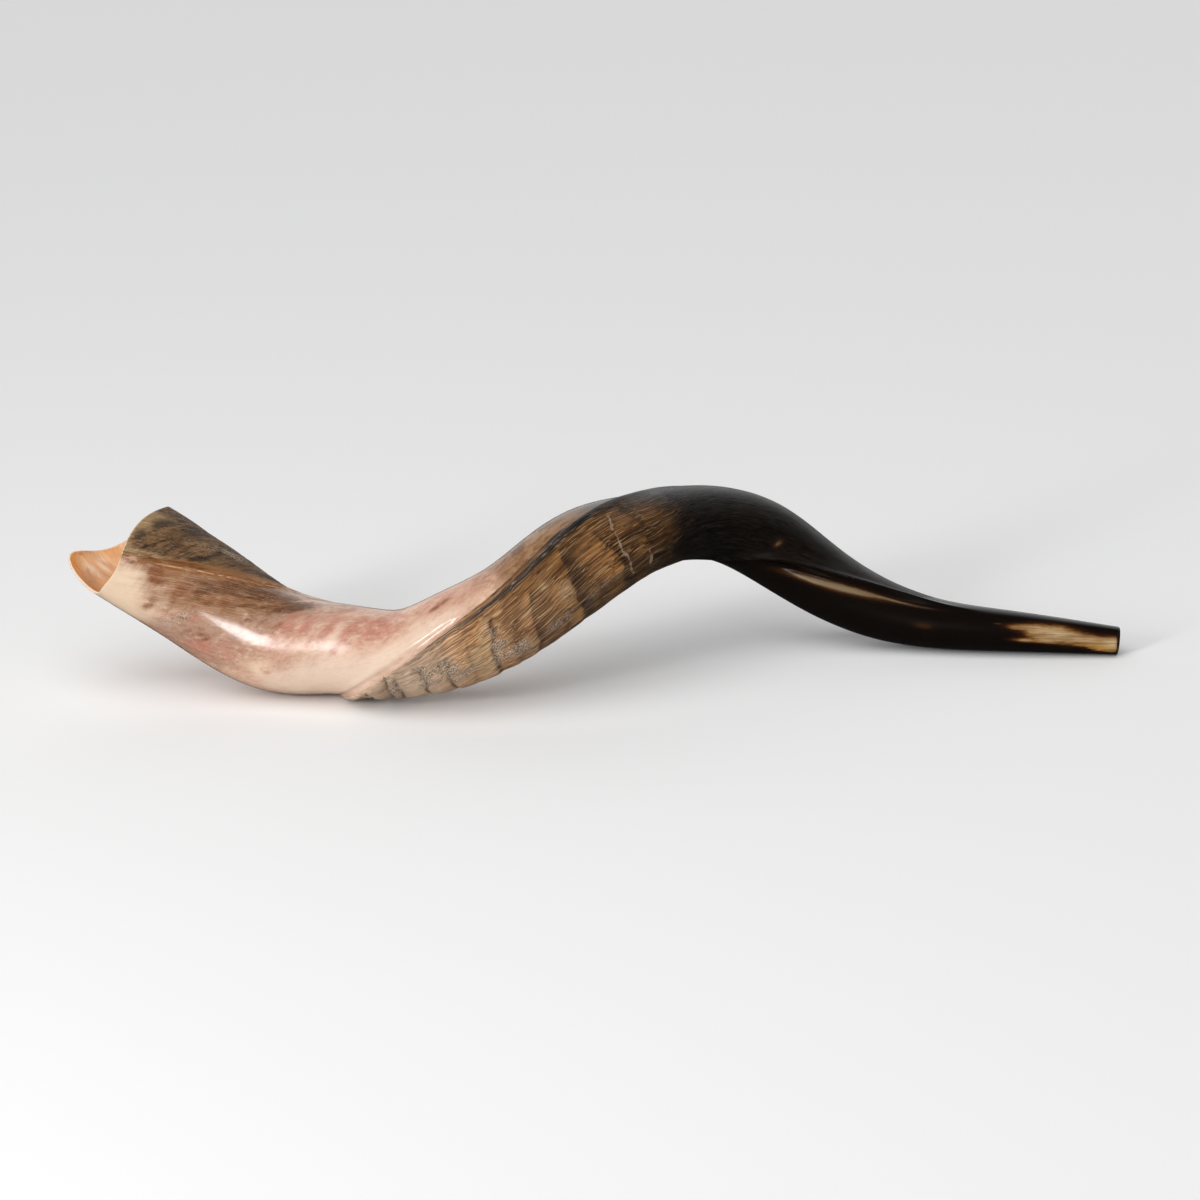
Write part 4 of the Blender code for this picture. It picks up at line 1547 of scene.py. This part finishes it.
        # Painted shade in the bottoms of deep ring grooves, darkest where a groove is deepest.
        colour = graph.tint(colour, self.gap_early, line, graph.blend(belled, 0.95, 0.4))
        woolly = graph.blend(first, 1.0, graph.rise(skin.keel_off, 0.012, 0.002, 0.1, 0.5))
        strength = graph.times(graph.blend(belled, 0.75, 0.3), woolly)
        colour = graph.tint(colour, graph.mix(age, self.gap_early, self.gap_late), gaps, strength)
        strength = graph.times(graph.blend(belled, 0.6, 0.2), woolly)
        return graph.tint(colour, graph.mix(age, self.hair_early, self.hair_late), hairs, strength)

    def bell(self, skin: SkinReader) -> Socket:
        """Colour of the bell's growth: dark stripes and fine lines along the rings, with pale specks.

        Args:
            skin: What the step reads.

        Returns:
            The colour.
        """
        graph = skin.graph
        stripes = graph.rise(graph.blend(0.4, skin.bands, skin.breaking), 0.43, 0.56)
        fine = graph.rise(graph.blend(0.35, skin.lines, skin.mottle), 0.44, 0.54)
        bell = graph.mix(graph.blend(0.6, stripes, fine), self.bell_dark, self.bell_light)
        specks = graph.rise(skin.fine, 0.56, 0.64), graph.rise(skin.breaking, 0.46, 0.56)
        return graph.tint(bell, self.bell_speck, *specks, 0.6)

    def ridge(self, skin: SkinReader, colour: Socket) -> Socket:
        """Lay the bell's ridge line over a colour: a thin pale line painted on its crest as highlight,
        between brown, broken shades.

        Args:
            skin: What the step reads.
            colour: The colour so far.

        Returns:
            The colour.
        """
        graph = skin.graph
        away = graph.math("ABSOLUTE", graph.plus(skin.ridge_off, graph.blend(skin.cloud, -0.0004, 0.0004)))
        bell = graph.rise(skin.rim_away, *self.ridge_fade)
        shade = graph.rise(away, 0.005, 0.001), graph.rise(skin.breaking, 0.4, 0.6)
        colour = graph.tint(colour, self.ridge_shade, *shade, bell, 0.75)
        # Painted highlight: a thin pale line on the ridge's crest.
        line = graph.rise(away, 0.0009, 0.0003), graph.rise(skin.breaking, 0.44, 0.56)
        return graph.tint(colour, self.ridge_crest_highlight, *line, graph.rise(skin.rim_away, 0.02, 0.035), bell, 0.8)

    def roughness(self, skin: SkinReader) -> Socket:
        """Roughness: glossy where ground, less so on the belly, drier on the growth and dull on crust.

        Args:
            skin: What the step reads.

        Returns:
            The roughness.
        """
        graph = skin.graph
        grown = graph.blend(skin.age, self.early_rough, self.late_rough)
        grown = graph.plus(grown, graph.times(skin.fibres[1], 0.12))
        ground = graph.blend(skin.cloud, self.ground_rough - 0.04, self.ground_rough + 0.06)
        belly = graph.rise(skin.along, -0.24, -0.215), graph.rise(skin.along, -0.165, -0.19)
        ground = graph.plus(ground, graph.times(*belly, graph.rise(skin.keel_off, -0.02, -0.04), 0.13))
        dark = graph.blend(skin.growth, self.black_rough - 0.04, self.black_rough + 0.1)
        rough = graph.blend(skin.black, graph.blend(skin.growth, ground, grown), dark)
        crust = graph.times(skin.crust, graph.blend(skin.growth, 0.4, 1.0))
        return graph.blend(crust, rough, self.crust_rough)

    def height(self, skin: SkinReader) -> Socket:
        """Fine relief: fibres and crust on the growth, fading where the horn is black and smooth.

        Args:
            skin: What the step reads.

        Returns:
            The height.
        """
        graph = skin.graph
        hairs, gaps, streaks = skin.fibres
        fibre = graph.minus(graph.times(hairs, 0.5), graph.times(gaps, 0.6))
        fibre = graph.plus(fibre, graph.times(streaks, 0.4))
        total = graph.plus(fibre, graph.times(skin.fine, 1.6, skin.crust))
        share = graph.times(graph.blend(skin.growth, 0.02, 1.0), graph.blend(skin.black, 1.0, 0.22))
        return graph.times(total, share)


@dataclass(frozen=True)
class HollowFinish:
    """Colours and gloss of the hollow: honey and cream in the bell, dark down the bore."""

    cream: Colour = (0.88, 0.52, 0.28)
    honey: Colour = (0.82, 0.39, 0.13)
    amber: Colour = (0.70, 0.27, 0.055)
    rose: Colour = (0.56, 0.27, 0.15)
    milk: Colour = (0.92, 0.68, 0.48)
    brown: Colour = (0.22, 0.085, 0.03)
    deep: Colour = (0.04, 0.018, 0.009)
    gloss: float = 0.28
    relief: float = 0.0004
    scatter: float = 0.1
    scatter_radius: Triple = (0.006, 0.003, 0.0015)

    def make(self, groups: HornGroups) -> bpy.types.Material:
        """Make the hollow's material.

        Args:
            groups: The shared node groups.

        Returns:
            The material.
        """
        material, graph, shader = new_material(
            "horn hollow", Subsurface_Weight=self.scatter, Subsurface_Radius=self.scatter_radius,
            Subsurface_Scale=1.0)
        place = graph.vector("grain")
        hairs, gaps, streaks = groups.use_fibres(graph, place)
        rim_away = graph.values("edges")[0]
        cloud = graph.noise(place, (26, 60, 60), 5.0, 0.65)
        spots = graph.noise(place, (120, 160, 160), 4.0, 0.6)
        colour = graph.mix(graph.rise(cloud, 0.4, 0.62), self.cream, self.honey)
        for strength, tone in zip(graph.values("lobe"), (self.amber, self.rose, self.milk)):
            strength = graph.plus(strength, graph.about(spots, 0.7))
            colour = graph.mix(graph.rise(strength, 0.1, 0.9), colour, tone)
        stain = graph.rise(spots, 0.58, 0.7), graph.rise(rim_away, 0.03, 0.004)
        colour = graph.tint(colour, self.brown, *stain, 0.5)
        colour = graph.tint(colour, self.brown, gaps, 0.15)
        colour = graph.tint(colour, self.milk, hairs, 0.15)
        # Painted highlight: a thin milky line along the rim's edge in the hollow.
        colour = graph.tint(colour, self.milk, graph.rise(rim_away, 0.0010, 0.0003), 0.5)
        colour = graph.mix(graph.rise(rim_away, 0.06, 0.2), colour, self.deep)
        rough = graph.blend(cloud, self.gloss - 0.06, self.gloss + 0.12)
        height = graph.minus(graph.times(streaks, 0.6), graph.times(gaps, 0.5))
        graph.surface(shader, colour, rough, height, self.relief, 0.6)
        return material


@dataclass
class Studio:
    """Floor, light and camera."""

    form: HornForm
    distance: float = 3.0
    view_width: float = 0.912
    sensor: float = 36.0
    floor_size: float = 30.0
    floor_colour: Colour = (0.92, 0.92, 0.92)
    front_sky: float = 0.028
    back_sky: float = 0.9
    # The sky's rise from front to back, and from the floor up, by the parts of the direction.
    back_rise: Pair = (0.25, 0.95)
    floor_rise: Pair = (-0.06, 0.04)
    ceiling: float = 2.0
    ceiling_soft: float = 80.0
    ceiling_tilt: float = 25.0
    # Name, degrees round to the right and above level, distance, width, height and watts.
    lamps: tuple[tuple, ...] = (
        ("softbox", -45.3, 20.5, 2.82, 0.55, 1.0, 34.0),
        ("strip", 24, 36, 2.6, 0.2, 0.7, 2.0),
    )

    def floor(self) -> None:
        """Make the plain pale floor that the horn lies on."""
        half = self.floor_size / 2
        mesh = bpy.data.meshes.new("floor")
        corners = [(-half, -half, 0), (half, -half, 0), (half, half, 0), (-half, half, 0)]
        mesh.from_pydata(corners, [], [(0, 1, 2, 3)])
        constants = {"Base_Color": self.floor_colour, "Roughness": 0.9, "Specular_IOR_Level": 0.1}
        mesh.materials.append(new_material("pale floor", **constants)[0])
        floor = add_object("floor", mesh)
        floor.visible_glossy = False

    def camera(self) -> None:
        """Put the camera out along the side view's near axis."""
        lens = bpy.data.cameras.new("camera")
        lens.sensor_width = self.sensor
        lens.lens = self.sensor * self.distance / self.view_width
        camera = add_object("camera", lens)
        rest = self.form.rest()
        place = Vector(self.form.rest_place) * MM + rest @ Vector((0, 0, 1)) * self.distance
        camera.matrix_world = Matrix.Translation(place) @ rest.to_4x4()
        bpy.context.scene.camera = camera

    def lamp(self, name: str, azimuth: float, elevation: float, away: float, width: float, height: float,
             power: float) -> None:
        """Add a soft rectangular lamp that faces the horn.

        Args:
            name: Its name.
            azimuth: Degrees round from the camera's side, to the right.
            elevation: Degrees above level.
            away: Distance from the origin, in metres.
            width: Width in metres.
            height: Height in metres.
            power: Watts.
        """
        light = bpy.data.lights.new(name, "AREA")
        light.shape = "RECTANGLE"
        light.size, light.size_y, light.energy = width, height, power
        lamp = add_object(name, light)
        turn, rise = math.radians(azimuth), math.radians(elevation)
        place = Vector((math.sin(turn) * math.cos(rise), -math.cos(turn) * math.cos(rise), math.sin(rise)))
        lamp.location = place * away
        lamp.rotation_euler = place.to_track_quat("Z", "Y").to_euler()

    def sky(self) -> bpy.types.World:
        """Make the surroundings: a dark room in front and a bright backdrop behind, above the floor.

        The brightness rises smoothly with the direction's part along the world's y axis.

        Returns:
            The world.
        """
        world = bpy.data.worlds.new("studio")
        world.use_nodes = True
        graph = Graph(world.node_tree)
        _, back, up = graph.node("SeparateXYZ", {0: graph.node("TexCoord").outputs["Generated"]}).outputs
        backdrop = world.node_tree.nodes["Background"].inputs
        graph.feed(backdrop["Color"], (1.0, 1.0, 1.0))
        bright = graph.times(graph.rise(back, *self.back_rise), graph.rise(up, *self.floor_rise))
        graph.feed(backdrop["Strength"], graph.rise(bright, 0.0, 1.0, self.front_sky, self.back_sky))
        return world

    def light(self) -> None:
        """Light the horn with the surroundings, a tall softbox, a weak strip and an even ceiling."""
        scene = bpy.context.scene
        scene.world = self.sky()
        scene.view_settings.view_transform = "Standard"
        for values in self.lamps:
            self.lamp(*values)
        sun = bpy.data.lights.new("ceiling", "SUN")
        sun.energy, sun.angle = self.ceiling, math.radians(self.ceiling_soft)
        ceiling = add_object("ceiling", sun)
        tilt = math.radians(self.ceiling_tilt)
        ceiling.rotation_euler = (tilt, 0, -tilt)
        ceiling.visible_glossy = False


def main() -> None:
    """Build the horn, dress it and set the stage."""
    logging.basicConfig(level=logging.INFO, format="%(name)s: %(message)s")
    form = HornForm()
    horn = HornSkin(SkinGrid(form, HornRelief(form)), HornStains()).build()
    groups = HornGroups()
    for finish in (SkinFinish(), HollowFinish()):
        horn.data.materials.append(finish.make(groups))
    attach(horn, "root")
    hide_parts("horn")
    LOG.info("%s: %d faces", horn.name, len(horn.data.polygons))
    studio = Studio(form)
    studio.floor()
    studio.camera()
    studio.light()


if __name__ == "__main__":
    main()
